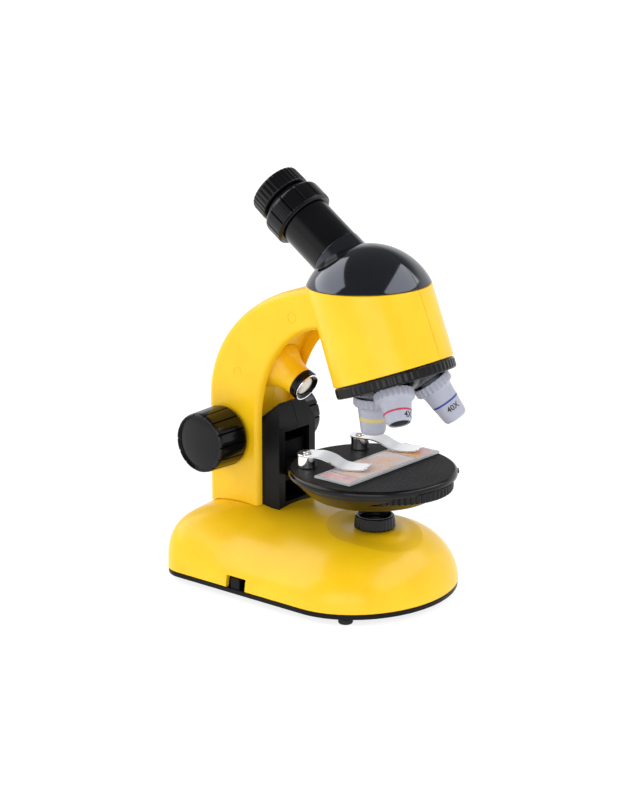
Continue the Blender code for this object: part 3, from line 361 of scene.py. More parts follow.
def panelled_turns(count, groove, crown=0.12, sub_ribs=0):
    """count broad panels parted by narrow grooves. groove is the share of a panel that its groove takes."""
    turns = []
    for k in range(count):
        for t, share in ((0.0, 1.0), (0.3, 0.85), (0.6, 0.3), (1.0, 0.0)):
            turns.append((2 * pi * (k + groove * t / 2) / count, max(share, crown)))
        inner = 9 if not sub_ribs else sub_ribs * 4
        for m in range(1, inner):
            t = m / inner
            bulge = crown * (1 - sin(pi * t))
            if sub_ribs:
                bulge += 0.14 * (1 - abs(sin(pi * t * sub_ribs)) ** 0.6)
            turns.append((2 * pi * (k + groove / 2 + (1 - groove) * t) / count, bulge))
        for t, share in ((1.0, 0.0), (0.6, 0.3), (0.3, 0.85)):
            turns.append((2 * pi * (k + 1 - groove * t / 2) / count, max(share, crown)))
    return turns


def turned(name, corners, origin, axis, turns=64, steps=3):
    """Turn a closed profile about axis. turns is a number of segments or a list of (angle, rib share)."""
    profile = soften(corners, steps)
    place = axis_frame(origin, axis)
    bm = bmesh.new()
    rows = []
    for angle, share in plain_turns(turns) if isinstance(turns, int) else turns:
        row = []
        for radius, height, depth in profile:
            r = radius - depth * share
            row.append(bm.verts.new(place @ Vector((r * cos(angle), r * sin(angle), height))))
        rows.append(row)
    count = len(profile)
    for here, there in zip(rows, rows[1:] + rows[:1]):
        for i in range(count):
            j = (i + 1) % count
            on_axis = (profile[i][0] == 0, profile[j][0] == 0)
            if on_axis == (True, True):
                continue
            corners_of_face = [here[i], here[j], there[j], there[i]]
            if on_axis[0]:
                corners_of_face.pop()
            elif on_axis[1]:
                corners_of_face.pop(2)
            bm.faces.new(corners_of_face)
    return solid(name, bm)


def turned_piece(name, body, slot, profile, origin, axis, turns=64):
    """Turn and finish the piece that takes the place of the frame's node of the same name."""
    return finish(turned(f"{name}_skin", profile, origin, axis, turns), body, slot, name)


def drill(origin, axis, radius, low, high, segments=48):
    """A plain round tool between two heights along axis."""
    return turned("tool_drill", [(0, low), (radius, low), (radius, high), (0, high)], origin, axis, segments)


def arc(centre, radius, start, end, count):
    """Points (r, h) on an arc, angles in degrees from +r towards +h."""
    points = []
    for k in range(count):
        angle = radians(start + (end - start) * k / (count - 1))
        points.append((centre[0] + radius * cos(angle), centre[1] + radius * sin(angle)))
    return points


def cross_recess(origin, axis, reach, depth):
    """The two crossed blades of a screwdriver recess, standing up from depth below origin."""
    place = axis_frame(origin, axis)
    tools = []
    blade = 0.32  # half a blade's thickness; only its reach narrows with depth
    for half_x, half_y in ((reach, blade), (blade, reach)):
        rings = []
        for height, share in ((-depth, 0.55), (0.5, 1.0)):
            u, v = half_x * max(share, blade / half_x), half_y * max(share, blade / half_y)
            rings.append([place @ Vector((x, y, height)) for x, y in ((-u, -v), (u, -v), (u, v), (-u, v))])
        tools.append(loft("tool_blade", rings))
    return tools


# ---- base ----
def base_outline(inset=0.0):
    """Plan of the base, as (x, y) points from the middle of its rear round to the same place."""
    half, corner = BASE_HALF_WIDTH - inset, BASE_CORNER - inset
    rear, front = BASE_REAR + inset, BASE_FRONT - inset
    side = [(rear, -k * (half - corner) / 8) for k in range(8)]
    for k in range(14):
        angle = pi / 2 * k / 14
        side.append((rear + corner - corner * cos(angle), -(half - corner) - corner * sin(angle)))
    side += [(rear + corner + (NOSE_START - rear - corner) * k / 20, -half) for k in range(20)]
    for k in range(41):
        angle = pi / 2 * k / 40
        side.append((NOSE_START + (front - NOSE_START) * sin(angle), -half * cos(angle)))
    return side + [(x, -y) for x, y in reversed(side[1:-1])]


def crown_height(x, y):
    """Height of the base's top, ahead of the arm, before the dish is cut."""
    along = max(x - SPINE[1], 0.0)
    reach = hypot(along, y)
    if reach == 0:
        return BASE_CROWN
    forward, sideways = along / reach, y / reach
    nose, lead = BASE_FRONT - NOSE_START, SPINE[1] - NOSE_START
    square = (forward / nose) ** 2 + (sideways / BASE_HALF_WIDTH) ** 2
    linear = lead * forward / nose ** 2
    full = (sqrt(linear ** 2 + square * (1 - (lead / nose) ** 2)) - linear) / square
    power = NOSE_POWER * forward ** 2 + SIDE_POWER * sideways ** 2
    share = min(reach / full, 1.0)
    return SHELL_BOTTOM + (BASE_CROWN - SHELL_BOTTOM) * (1 - share ** power) ** (1 / power)


def dish_height(reach, turn):
    """Height of the dish round the lamp cup, reach mm from the cup's axis."""
    crown = crown_height(CUP_X + reach * cos(turn), reach * sin(turn))
    sunk = crown - DISH_DEPTH * (1 - (reach / DISH_RADIUS) ** 2)
    blend = min(max((reach - LANDING_RADIUS) / LANDING_BLEND, 0.0), 1.0)
    blend = blend * blend * (3 - 2 * blend)
    return LANDING_Z + (sunk - LANDING_Z) * blend


def dish_tool():
    """Solid above the dish: flat over the landing, then bowl-shaped, then out of the base's top."""
    rings = []
    turns = [2 * pi * (k + 0.5) / 96 for k in range(96)]
    for reach in (LANDING_RADIUS, 12.5, 13.8, 15.2, 16.6, 18, 19.5, 21, 22.5, 24, DISH_RADIUS,
                  DISH_RADIUS + 2):
        rings.append([(CUP_X + reach * cos(t), reach * sin(t), dish_height(reach, t)) for t in turns])
    rings.append([(x, y, 60.0) for x, y, _ in rings[-1]])
    return loft("tool_dish", rings)


def domed_solid(name, inset, drop, bottom, levels=22, chamfer=0.0):
    """Closed domed body: square-shouldered at the rear, rounder at the nose, closed along its spine."""
    outline = base_outline(inset)
    rings = []
    if chamfer:
        rings.append([(x, y, bottom) for x, y in base_outline(inset + chamfer)])
    for level in range(levels):
        turn = pi / 2 * level / levels
        ring = []
        for x, y in outline:
            spine_x = min(max(x, SPINE[0]), SPINE[1])
            dx, dy = x - spine_x, y
            reach = hypot(dx, dy) or 1.0
            forward, backward = max(dx / reach, 0) ** 2, max(-dx / reach, 0) ** 2
            power = NOSE_POWER * forward + REAR_POWER * backward + SIDE_POWER * (1 - forward - backward)
            share = cos(turn) ** (2 / power)
            height = bottom + chamfer
            if level:
                height = SHELL_BOTTOM + (BASE_CROWN - SHELL_BOTTOM) * sin(turn) ** (2 / power) - drop
            ring.append((spine_x + dx * share, dy * share, height))
        rings.append(ring)
    bm = bmesh.new()
    top = skin(bm, rings)[-1]
    half_count = len(outline) // 2
    spine = []
    for i in range(half_count + 1):
        spine.append(bm.verts.new((min(max(top[i].co.x, SPINE[0]), SPINE[1]), 0, BASE_CROWN - drop)))
    for i in range(half_count):
        j = i + 1
        bm.faces.new((top[i], top[j], spine[j], spine[i]))
        bm.faces.new((top[-i], spine[i], spine[j], top[-j]))
    bmesh.ops.remove_doubles(bm, verts=bm.verts, dist=1e-3)
    return solid(name, bm)


def make_base_shell():
    shell = domed_solid("base_shell_skin", 0.0, 0.0, SHELL_BOTTOM, chamfer=0.3)
    hollow = domed_solid("tool_hollow", SHELL_WALL, SHELL_WALL, SHELL_BOTTOM - 2, 9)
    pilot = SHELL_BOTTOM + 11.1
    foot = SHELL_BOTTOM + GAP
    post = [(1.5, foot), (3.4, foot), (3.4, 60), (0, 60), (0, pilot), (1.5, pilot)]
    posts = [turned("tool_post", post, (x, y, 0), UP, 20) for x, y in SCREW_SPOTS]
    under_dish = drill((CUP_X, 0, 0), UP, 26.5, LANDING_Z - SHELL_WALL, 60)
    cut(hollow, under_dish, *posts, solver="MANIFOLD")
    notch = box((NOTCH[0], -BASE_HALF_WIDTH - 5, 0), (NOTCH[1], -BASE_HALF_WIDTH + 6, NOTCH[2]))
    holes = [drill((ARM_SCREW_X, y, 0), UP, 1.9, 25, 50) for y in (-ARM_SCREW_Y, ARM_SCREW_Y)]
    holes.append(box((-60, -4, 28), (-52, 4, 50)))
    cut(shell, dish_tool(), hollow, drill((CUP_X, 0, 0), UP, 3.9, 30, 60), notch, *holes, solver="MANIFOLD")
    finish(shell, "stand", YELLOW, "base_shell")
    for edge in shell.data.edges:  # the rim of the dish is a crease
        ends = [shell.data.vertices[index].co / MM for index in edge.vertices]
        on_rim = all(abs(hypot(end.x - CUP_X, end.y) - DISH_RADIUS) < 0.7 for end in ends)
        if on_rim and all(end.z > LANDING_Z - 6 for end in ends):
            edge.use_edge_sharp = True


def make_base_plate():
    rings = []
    for z, inset in ((3.0, 0.8), (3.12, 0.5), (3.5, 0.25), (5.3, 0.25), (5.5, 0.35), (5.6, 0.55)):
        rings.append([(x, y, z) for x, y in base_outline(inset)])
    plate = loft("base_plate_skin", rings)
    top = FOOT_HEIGHT + PLATE_THICKNESS
    join(plate, box((BAY_REAR - BAY_WALL, -BAY_HALF_WIDTH - BAY_WALL, top - 1),
                    (BAY_FRONT + BAY_WALL, BAY_HALF_WIDTH + BAY_WALL, 17)))
    tools = [box((BAY_REAR, -BAY_HALF_WIDTH, 0), (BAY_FRONT, BAY_HALF_WIDTH, 30)),
             box((NOTCH[0] + 1.5, -BASE_HALF_WIDTH + 0.7, 0), (NOTCH[1] - 1.0, -BASE_HALF_WIDTH + 4.3, 9))]
    for x, y in SCREW_SPOTS:
        tools.append(drill((x, y, 0), UP, 1.6, 0, 9, 24))
        tools.append(drill((x, y, 0), UP, 3.2, 0, FOOT_HEIGHT + COUNTERBORE, 32))
    tools += [drill((x, y, 0), UP, 2.3, 0, 9, 24) for x, y in FOOT_SPOTS]
    finish(cut(plate, *tools), "stand", SATIN, "base_plate")


def make_base_screws():
    head = FOOT_HEIGHT + COUNTERBORE - GAP
    for index, (x, y) in enumerate(SCREW_SPOTS):
        profile = [(0, head - 1.0), (2.8, head - 1.0, 0.3), (2.8, head), (1.2, head), (1.2, 15.5), (0, 16.2)]
        screw = turned(f"base_screw_{index + 1}_skin", profile, (x, y, 0), UP, 32)
        cut(screw, *cross_recess((x, y, head - 1.0), -UP, 1.7, 0.7))
        finish(screw, "stand", "steel", f"base_screw_{index + 1}")


def make_feet():
    profile = [(0, 0.25), (1.6, 0.25, 0.2), (2.0, 0, 0.2), (3.3, 0, 0.3), (3.8, 0.6, 0.3), (3.8, 2.7, 0.3)]
    profile += [(2.0, 2.7), (2.0, 5.6), (0, 5.6)]
    for index, (x, y) in enumerate(FOOT_SPOTS):
        turned_piece(f"foot_{index + 1}", "stand", "rubber", profile, (x, y, 0), UP, 48)


def make_battery_door():
    door = box((BAY_REAR + GAP, -BAY_HALF_WIDTH + GAP, FOOT_HEIGHT),
               (BAY_FRONT - GAP, BAY_HALF_WIDTH - GAP, FOOT_HEIGHT + 2.0), "battery_door_skin")
    round_edges(door, 0.4, 2)
    grips = []
    for index in range(5):
        x = -50.0 + 2.4 * index
        grips.append(box((x, -9.0, 2.0), (x + 1.1, 9.0, FOOT_HEIGHT + 0.6)))
    cut(door, drill(DOOR_SCREW, UP, 1.5, 0, 9, 32), *grips)
    finish(door, "stand", SATIN, "battery_door")
    head = FOOT_HEIGHT + 0.2
    profile = [(0, head), (1.2, head, 0.2), (1.2, 7.5), (0, 7.5)]
    screw = turned("battery_door_screw_skin", profile, DOOR_SCREW, UP, 32)
    cut(screw, *cross_recess((DOOR_SCREW[0], 0, head), -UP, 0.9, 0.6))
    finish(screw, "stand", "steel", "battery_door_screw")


def make_lower_lamp():
    z = LANDING_Z + GAP
    cup = [(3.3, z), (10.5, z, 0.2), (10.85, z + 0.5, 0.2, 0.1), (10.8, z + 1.1, 0.2, 0.5),
           (10.35, 43.2, 0.2, 0.5), (10.2, 43.8, 0.25, 0.15), (9.8, 44.2, 0.3), (8.7, 44.2, 0.3),
           (8.5, 43.3, 0.2), (8.2, 42.9, 0.2), (8.1, 38.8, 0.2), (3.3, 38.8)]
    ribs = fluted_turns(28, 8, 0.8)
    turned_piece("illuminator_cup", "illuminator", GLOSS, cup, (CUP_X, 0, 0), UP, ribs)
    lens = [(0, 39.2), (7.4, 39.2, 0.1), (7.6, 39.5, 0.1), (7.6, 40.1, 0.1), (7.2, 40.4, 0.2)]
    lens += [(6.0, 40.52), (4.0, 40.62), (2.0, 40.68), (0, 40.7)]
    turned_piece("illuminator_lens", "illuminator", "clear", lens, (CUP_X, 0, 0), UP)


def make_switch():
    y0, y1 = -BASE_HALF_WIDTH + 1.0, -BASE_HALF_WIDTH + 4.0
    tab = box((SWITCH_X - SWITCH_HALF, y0, FOOT_HEIGHT + 0.2), (SWITCH_X + SWITCH_HALF, y1, 11.4),
              "light_switch_skin")
    finish(round_edges(tab, 0.45, 3), "switch", SATIN, "light_switch")


# ---- arm and head ----
def bend(ellipse, grow, foot, end_x, steps=56):
    """One (x, z) edge of the C-shaped arm: up from its foot and over to x = end_x."""
    xc, a, zc, b = ellipse
    a, b = a + grow, b + grow
    last = atan2(sqrt(max(1 - ((xc - end_x) / a) ** 2, 0)), (xc - end_x) / a)
    points = [(xc - a, foot)]
    points += [(xc - a * cos(last * k / steps), zc + b * sin(last * k / steps)) for k in range(steps + 1)]
    return points


def arm_outline(outer_inset, inner_outset, foot, end_x):
    return bend(ARM_OUTER, -outer_inset, foot, end_x) + bend(ARM_INNER, inner_outset, foot, end_x)[::-1]


def half_ring(centre, radius, tilt, side, seam, count=48):
    """Half circle on one side of the middle plane, in a plane tilted about Y."""
    along = Vector((cos(tilt), 0, -sin(tilt)))
    start = seam / radius
    ring = []
    for k in range(count + 1):
        angle = start + (pi - 2 * start) * k / count
        ring.append(Vector(centre) + along * radius * cos(angle) + Vector((0, side * radius * sin(angle), 0)))
    return ring


def head_solid(side, inset, seam, low, high, edge=0.0):
    """Half of the oblique head, from low mm above its turret end to high mm above its dome rim."""
    bottom_centre, top_centre = TURRET_CENTRE - TURRET_AXIS * low, RIM_CENTRE + RIM_AXIS * high
    steps = [(0.0, edge), (1.0, edge)]
    if edge:
        steps[1:1] = [(0.006, edge * 0.3), (0.018, 0), (0.982, 0), (0.994, edge * 0.3)]
    rings = []
    for share, shrink in steps:
        lower = half_ring(bottom_centre, TURRET_RADIUS - inset - shrink, TURRET_TILT, side, seam)
        upper = half_ring(top_centre, RIM_RADIUS - inset - shrink, RIM_TILT, side, seam)
        rings.append([a.lerp(b, share) for a, b in zip(lower, upper)])
    return loft("tool_head", rings)


def seam_tongue():
    """Thin tongue inside the head's front wall that closes the seam between the two halves to light."""
    ends = ((TURRET_CENTRE, TURRET_RADIUS, TURRET_TILT), (RIM_CENTRE, RIM_RADIUS, RIM_TILT))
    outline = []
    for (centre, radius, tilt), insets in zip(ends, ((1.7, 0.9), (0.9, 1.7))):
        along = Vector((cos(tilt), 0, -sin(tilt)))
        outline += [(point.x, point.z) for point in (centre + along * (radius - inset) for inset in insets)]
    return prism(outline, -0.6, 0.6)


def make_arm_half(side, tag):
    slices = []
    for turn in (90, 78, 66, 54, 42, 30, 18, 8, 0):
        inset = ARM_EDGE * (1 - cos(radians(turn)))
        y = side * (ARM_HALF_WIDTH - ARM_EDGE + ARM_EDGE * sin(radians(turn)))
        slices.append([(x, y, z) for x, z in arm_outline(inset, inset * 0.7, ARM_FOOT, ARM_END)])
    slices.append([(x, side * (GAP / 2 + 0.25), z) for x, z in arm_outline(0, 0, ARM_FOOT, ARM_END)])
    slices.append([(x, side * GAP / 2, z) for x, z in arm_outline(0.3, 0.3, ARM_FOOT, ARM_END)])
    half = loft(f"arm_shell_{tag}_skin", slices)
    join(half, head_solid(side, 0.0, GAP / 2, 0.0, 0.0, 0.45), solver="MANIFOLD")
    outline = arm_outline(ARM_WALL, CHANNEL_DEPTH + ARM_WALL, CUT_FOOT, 26.0)
    channel = bend(ARM_INNER, CHANNEL_DEPTH, CUT_FOOT, CHANNEL_END)
    channel += bend(ARM_INNER, -8.0, CUT_FOOT, CHANNEL_END)[::-1]
    tools = [prism(outline, side * (ARM_HALF_WIDTH - ARM_WALL), -side)]
    tools.append(head_solid(side, ARM_WALL, -1.0, 2.6, 3.0))
    tools.append(prism(channel, side * CHANNEL_HALF_WIDTH, -side))
    tools.append(box((-46, -4, CUT_FOOT), (-30, 4, NECK_ROOM_TOP)))
    cut(half, *tools, solver="MANIFOLD")
    if side > 0:
        join(half, seam_tongue(), solver="MANIFOLD")
    spot = (ARM_SCREW_X, side * ARM_SCREW_Y, 0)
    join(half, drill(spot, UP, 5.2, 30, 52, 32), solver="MANIFOLD")
    tools = [drill(spot, UP, 1.5, 20, 47, 24), domed_solid("tool_seat", -GAP, -GAP, 0)]
    tools.append(drill(KNOB + Vector((0, side * 10, 0)), FAR, 2.8, -12, 12))
    tools.append(drill(TURRET_CENTRE, TURRET_AXIS, 1.9, -8, 3))
    tools.append(drill((STAGE_X, 0, 100), UP, 6.0, 0, 32))
    tools.append(drill(LAMP_FACE, LAMP_AXIS, 6.3, -34, -12))
    if side < 0:
        ring = [(2.6, -0.18), (2.85, -0.18), (2.85, 1.0), (2.6, 1.0)]
        tools += [turned("tool_plug", ring, (x, -ARM_HALF_WIDTH, z), NEAR, 40) for x, z in PLUG_SPOTS]
    cut(half, *tools, solver="MANIFOLD")
    finish(half, "stand", YELLOW, f"arm_shell_{tag}")


def make_dome_half(side, tag):
    sphere, wall = hypot(RIM_RADIUS, DOME_DROP), 2.0
    start = degrees(atan2(DOME_DROP, RIM_RADIUS))
    outer = arc((0, -DOME_DROP), sphere, start, 90, 26)
    outer[-1] = (0, outer[-1][1])
    inner = arc((0, -DOME_DROP), sphere - wall, 90, degrees(atan2(DOME_DROP, RIM_RADIUS - wall)), 14)
    inner[0] = (0, inner[0][1])
    profile = [(r, h + GAP) for r, h in outer + inner]
    profile[0] = (*profile[0], 0.4)
    half = turned(f"dome_{tag}_skin", profile, RIM_CENTRE, RIM_AXIS, 96)
    socket = [(0, -7.5), (14.3, -7.5), (14.3, 2.9, 0.3), (14.0, 3.2, 0.2), (0, 3.2)]
    join(half, turned("tool_socket", socket, EYE_POINT, EYE_AXIS, 96), solver="MANIFOLD")
    away = sorted((-side * 60, side * GAP / 2))
    cut(half, drill(EYE_POINT, EYE_AXIS, 12.9, -30, 8, 96),
        drill(EYE_POINT, EYE_AXIS, TUBE_RADIUS + GAP, 3.2, 30, 96),
        box((-40, away[0], 150), (90, away[1], 220)), solver="MANIFOLD")
    finish(half, "stand", GLOSS, f"dome_{tag}", look=PIANO_BLACK)


def make_guide_half(side, tag):
    rear, front, shoulder = GUIDE_REAR, GUIDE_FRONT, GUIDE_SHOULDER
    outline = [(rear, 30.0), (front, 30.0), (front, shoulder), (GUIDE_RIDGE_X, GUIDE_RIDGE_Z), (rear, 84.0)]
    half = prism(outline, side * GAP / 2, side * GUIDE_HALF_WIDTH, f"slider_guide_{tag}_skin")
    low, high = 84.0, 110.0
    hip = []
    for at_low, at_high in ((20.0, 20.0), (GUIDE_HALF_WIDTH + 0.01, 3.1)):
        ring = [(rear - 5, side * at_low, low), (front + 5, side * at_low, low)]
        hip.append(ring + [(front + 5, side * at_high, high), (rear - 5, side * at_high, high)])
    cut(half, loft("tool_hip", hip))
    back = rear + 1.2
    hollow = [(back, 42.0), (front - 2.0, 42.0), (front - 2.0, shoulder - 1.5), (GUIDE_RIDGE_X, 88.5),
              (back, 82.0)]
    cut(half, prism(hollow, -side * 1.0, side * 11.2), box((front - 5, -9.8, 42.0), (front + 5, 9.8, 80.5)),
        box((rear - 5, -3.5, 42.0), (rear + 2, 3.5, NECK_ROOM_TOP)), domed_solid("tool_seat", -GAP, -GAP, 0))
    finish(round_edges(half, 0.35, 2, 25), "stand", SATIN, f"slider_guide_{tag}")


# ---- eyepiece, turret and objectives ----
def make_eyepiece():
    tube = [(10.0, -9), (12.6, -9, 0.3), (12.6, 3.5, 0.2), (TUBE_RADIUS, 3.5, 0.2),
            (TUBE_RADIUS, 28.0, 0.3), (12.5, 28.0), (12.5, 43.4, 0.4), (10.0, 43.4, 0.4)]
    turned_piece("eyepiece_tube", "stand", GLOSS, tube, EYE_POINT, EYE_AXIS, 96)
    collar = [(12.8, 28.3), (15.4, 28.3, 0.3), (15.7, 28.9, 0.2), (16.7, 29.1, 0.3, 0.2),
              (16.85, 30.0, 0.3, 0.75), (16.85, 38.6, 0.3, 0.75), (16.6, 39.6, 0.2, 0.6),
              (15.9, 40.5, 0.3, 0.3), (14.6, 40.6, 0.2), (12.8, 40.6)]
    panels = panelled_turns(12, 0.14, 0.05, 5)
    turned_piece("eyepiece_collar", "zoom_collar", GLOSS, collar, EYE_POINT, EYE_AXIS, panels)
    cup = [(8.0, 30.0), (9.7, 30.0), (9.7, 43.8), (13.3, 43.8, 0.3), (14.5, 44.4, 0.4, 0.3),
           (14.6, 45.2, 0.3, 0.5), (14.4, 52.6, 0.3, 0.5), (14.1, 53.6, 0.3, 0.4), (13.4, 53.9, 0.3, 0.1),
           (11.6, 53.9, 0.4), (10.8, 53.0, 0.4), (9.6, 51.8, 0.3), (8.2, 51.4, 0.2), (8.0, 51.2)]
    turned_piece("eyecup", "eyepiece", GLOSS, cup, EYE_POINT, EYE_AXIS, fluted_turns(32, 8, 0.7))
    for name, low, high in (("eye_lens", 48.2, 50.6), ("field_lens", 31.0, 33.4)):
        lens = [(0, low), *((7.6 * t, low + 0.8 * t * t) for t in (0.25, 0.5, 0.75))]
        lens += [(7.6, low + 0.8), (7.7, low + 1.4)]
        lens += [(7.7 * t, high - (high - low - 1.4) * t * t) for t in (0.75, 0.5, 0.25)]
        lens.append((0, high))
        turned_piece(name, "eyepiece", "clear", lens, EYE_POINT, EYE_AXIS)


def objective_axis(turn):
    """The working objective points straight down, the others are turned about the turret's axis."""
    return Matrix.Rotation(radians(turn), 3, TURRET_AXIS) @ -UP


def make_turret():
    drop = (TURRET_CENTRE - APEX).dot(TURRET_AXIS)  # from the apex down to the turret's centre
    edge = 28.6
    outer = arc((0, -drop), SEAT, degrees(acos(edge / SEAT)), 86.5, 18)
    inner = arc((0, -drop), SEAT - 2.6, 86.3, 55.2, 10)
    profile = [(26.5, 0.4), (30.6, 0.4, 0.2), (31.3, 0.7, 0.2, 0.1), (31.3, 1.3, 0.1, 0.1),
               (31.5, 1.4, 0.1, 0.5), (31.5, 5.3, 0.1, 0.5), (31.3, 5.4, 0.1, 0.1), (31.2, 6.0, 0.2, 0.1),
               (30.6, 6.2, 0.2), (29.6, 6.2, 0.3), (edge, 3.6, 0.4)]
    profile += outer[1:] + inner
    turret = turned("turret_skin", profile, TURRET_CENTRE, TURRET_AXIS, fluted_turns(60, 6, 0.8))
    cut(turret, *[drill(APEX, objective_axis(turn), 6.0, 40, 60) for turn, _ in OBJECTIVES.values()])
    finish(turret, "turret", GLOSS, "turret")
    boss = SEAT - drop
    screw = [(0, -5.0), (1.5, -5.0), (1.5, boss + 0.4), (4.2, boss + 0.4, 0.1), (4.2, boss + 1.5, 0.4),
             (3.2, boss + 1.7, 0.1), (3.1, boss + 2.0, 0.3), (2.0, boss + 2.2, 0.3), (0, boss + 2.2)]
    made = turned("turret_screw_skin", screw, TURRET_CENTRE, TURRET_AXIS, 48)
    cut(made, *cross_recess(TURRET_CENTRE + TURRET_AXIS * (boss + 2.2), TURRET_AXIS, 1.9, 1.0))
    finish(made, "stand", "steel", "turret_screw")


def body_radius(reach, tip):
    """Radius of an objective's tapered body, reach mm from the apex."""
    return BODY_RADIUS - BODY_TAPER * (reach - BODY_START) / (tip - TIP_ROUNDING - BODY_START)


def print_on(name, text, turn, tip, baseline, facing):
    """Raised print round an objective's body. baseline is its distance from the apex, facing its angle."""
    curve = bpy.data.curves.new(name, "FONT")
    curve.body = text
    curve.size = 4.2
    curve.align_x = "CENTER"
    curve.extrude = 0.06
    curve.offset = 0.07
    curve.resolution_u = 3
    words = in_scene(name + "_curve", curve)
    mesh = seen_mesh(words)
    bpy.data.objects.remove(words)
    place = axis_frame(APEX, objective_axis(turn))
    lift = 0.03  # from the body's surface to the middle of the letters' depth
    for vertex in mesh.vertices:
        x, y, z = vertex.co
        level = baseline - y
        radius = body_radius(level, tip) + lift + z
        angle = facing - x / radius
        vertex.co = place @ Vector((radius * cos(angle), radius * sin(angle), level))
    bm = bmesh.new()
    bm.from_mesh(mesh)
    bpy.data.meshes.remove(mesh)
    finish(solid(name, bm), "turret", "grey_objective", look=BLACK_INK)


def make_objectives():
    for name, (turn, tip) in OBJECTIVES.items():
        axis = objective_axis(turn)
        profile = [(4.4, 45.0), (5.7, 45.0, 0.2), (5.7, 51.8, 0.1), (9.2, 51.8, 0.3), (9.5, SEAT + GAP, 0.1),
                   (10.1, SEAT + GAP, 0.15), (10.4, SEAT + 0.9, 0.2, 0.7), (10.4, SEAT + 1.5, 0.2, 1.0),
                   (10.4, 52.9, 0.3, 1.0), (10.3, 53.6, 0.3, 0.8), (9.8, 54.2, 0.4, 0.2), (8.4, 54.9, 0.6, 0),
                   (7.95, 56.4, 0.5, 0), (body_radius(61, tip), 61.0, 0.3, 0),
                   (BODY_RADIUS - BODY_TAPER, tip - TIP_ROUNDING, 0.6, 0), (5.6, tip, 0.5, 0),
                   (4.6, tip, 0.2, 0), (4.4, tip - 0.6, 0.1, 0)]
        ribs = fluted_turns(22, 8, 0.7)
        made = turned_piece(f"objective_{name}", "turret", "grey_objective", profile, APEX, axis, ribs)
        place = axis_frame(APEX, axis).inverted()

        def inside(middle, _):
            local = place @ middle
            reach = hypot(local.x, local.y)
            cup_floor = 49.5 < local.z < 52.2 and 5.5 < reach < 9.55
            return cup_floor or (reach < 5.6 and local.z > tip - 0.02) or reach < 4.5
        repaint(made, DARK_GREY, inside)
        lens = [(0, tip - 4.5), (4.1, tip - 4.1), (4.1, tip - 2.4), (3.0, tip - 2.0), (1.6, tip - 1.7),
                (0, tip - 1.6)]
        turned_piece(f"objective_lens_{name}", "turret", "clear", lens, APEX, axis, 40)
    bands = (("4x", RED_INK, 60.0, 61.0), ("40x", BLUE_INK, 62.0, 63.0), ("10x", SAND_INK, 59.8, 61.8))
    for name, look, low, high in bands:
        turn, tip = OBJECTIVES[name]
        outer = [(body_radius(h, tip) + 0.07, h, 0.05) for h in (low, high)]
        ring = [(body_radius(low, tip) - 0.3, low), *outer, (body_radius(high, tip) - 0.3, high)]
        made = turned(f"band_{name}", ring, APEX, objective_axis(turn), 72)
        finish(made, "turret", "grey_objective", look=look)
    for name, baseline, facing in (("4x", 64.6, 177), ("40x", 67.7, -144), ("10x", 66.4, 40)):
        print_on(f"mark_{name}", name.upper(), *OBJECTIVES[name], baseline, radians(facing))


def make_upper_lamp():
    tube = [(6.6, -21.0), (13.6, -21.0), (12.6, -18.5, 1.0), (9.8, -14.0, 1.5), (8.4, -9.5, 1.5),
            (8.0, -4.5, 0.3), (6.6, -4.5)]
    housing = turned("lamp_housing_skin", tube, LAMP_FACE, LAMP_AXIS, 72)
    root = bend(ARM_INNER, CHANNEL_DEPTH - GAP, CUT_FOOT, CHANNEL_END)
    root += bend(ARM_INNER, CHANNEL_DEPTH + 25, CUT_FOOT, CHANNEL_END)[::-1]
    finish(cut(housing, prism(root, -20, 20)), "stand", YELLOW, "lamp_housing")
    ring = [(6.6, -4.2), (8.3, -4.2, 0.3), (8.3, -0.8, 0.4), (7.9, -0.2, 0.3), (6.6, -0.2)]
    turned_piece("lamp_ring", "stand", GLOSS, ring, LAMP_FACE, LAMP_AXIS, 72)
    bezel = [(5.3, -2.8), (6.3, -2.8), (6.3, 0.1), (7.9, 0.1, 0.15), (7.9, 0.5, 0.2), (7.5, 0.75, 0.2),
             (7.1, 0.45, 0.1), (6.2, 0.1, 0.2), (5.35, -0.5, 0.1), (5.3, -0.9)]
    made = turned_piece("lamp_bezel", "stand", "chrome", bezel, LAMP_FACE, LAMP_AXIS, 72)
    place = axis_frame(LAMP_FACE, LAMP_AXIS).inverted()
    repaint(made, LOOKS[GLOSS], lambda middle, _: hypot(*(place @ middle).xy) < 7.2)
    lens = [(0, -2.6), (5.0, -2.6, 0.1), (5.0, -1.0, 0.2), (4.0, -0.7), (2.6, -0.5), (1.2, -0.38), (0, -0.35)]
    turned_piece("lamp_lens", "stand", "lamp_white", lens, LAMP_FACE, LAMP_AXIS)


# ---- focusing knobs and stage ----
def make_knobs():
    knob = [(2.8, 20.2), (15.4, 20.2, 0.4), (16.3, 20.9, 0.4, 0.3), (16.5, 22.2, 0.3, 1.0),
            (15.95, 39.0, 0.3, 1.1), (15.7, 40.1, 0.3, 1.0), (15.1, 40.6, 0.2, 0.6), (14.5, 40.5, 0.15),
            (14.1, 39.5, 0.15)]
    knob += [(13.6, 39.5, 0.2), (11.5, 39.95), (9.0, 40.35), (6.0, 40.65), (3.0, 40.82), (0, 40.9)]
    knob += [(0, 38.5), (2.8, 38.5)]
    panels = panelled_turns(14, 0.13, 0.06)
    for side, tag in SIDES:
        turned_piece(f"focus_knob_{tag}", "focus", GLOSS, knob, KNOB, (0, side, 0), panels)


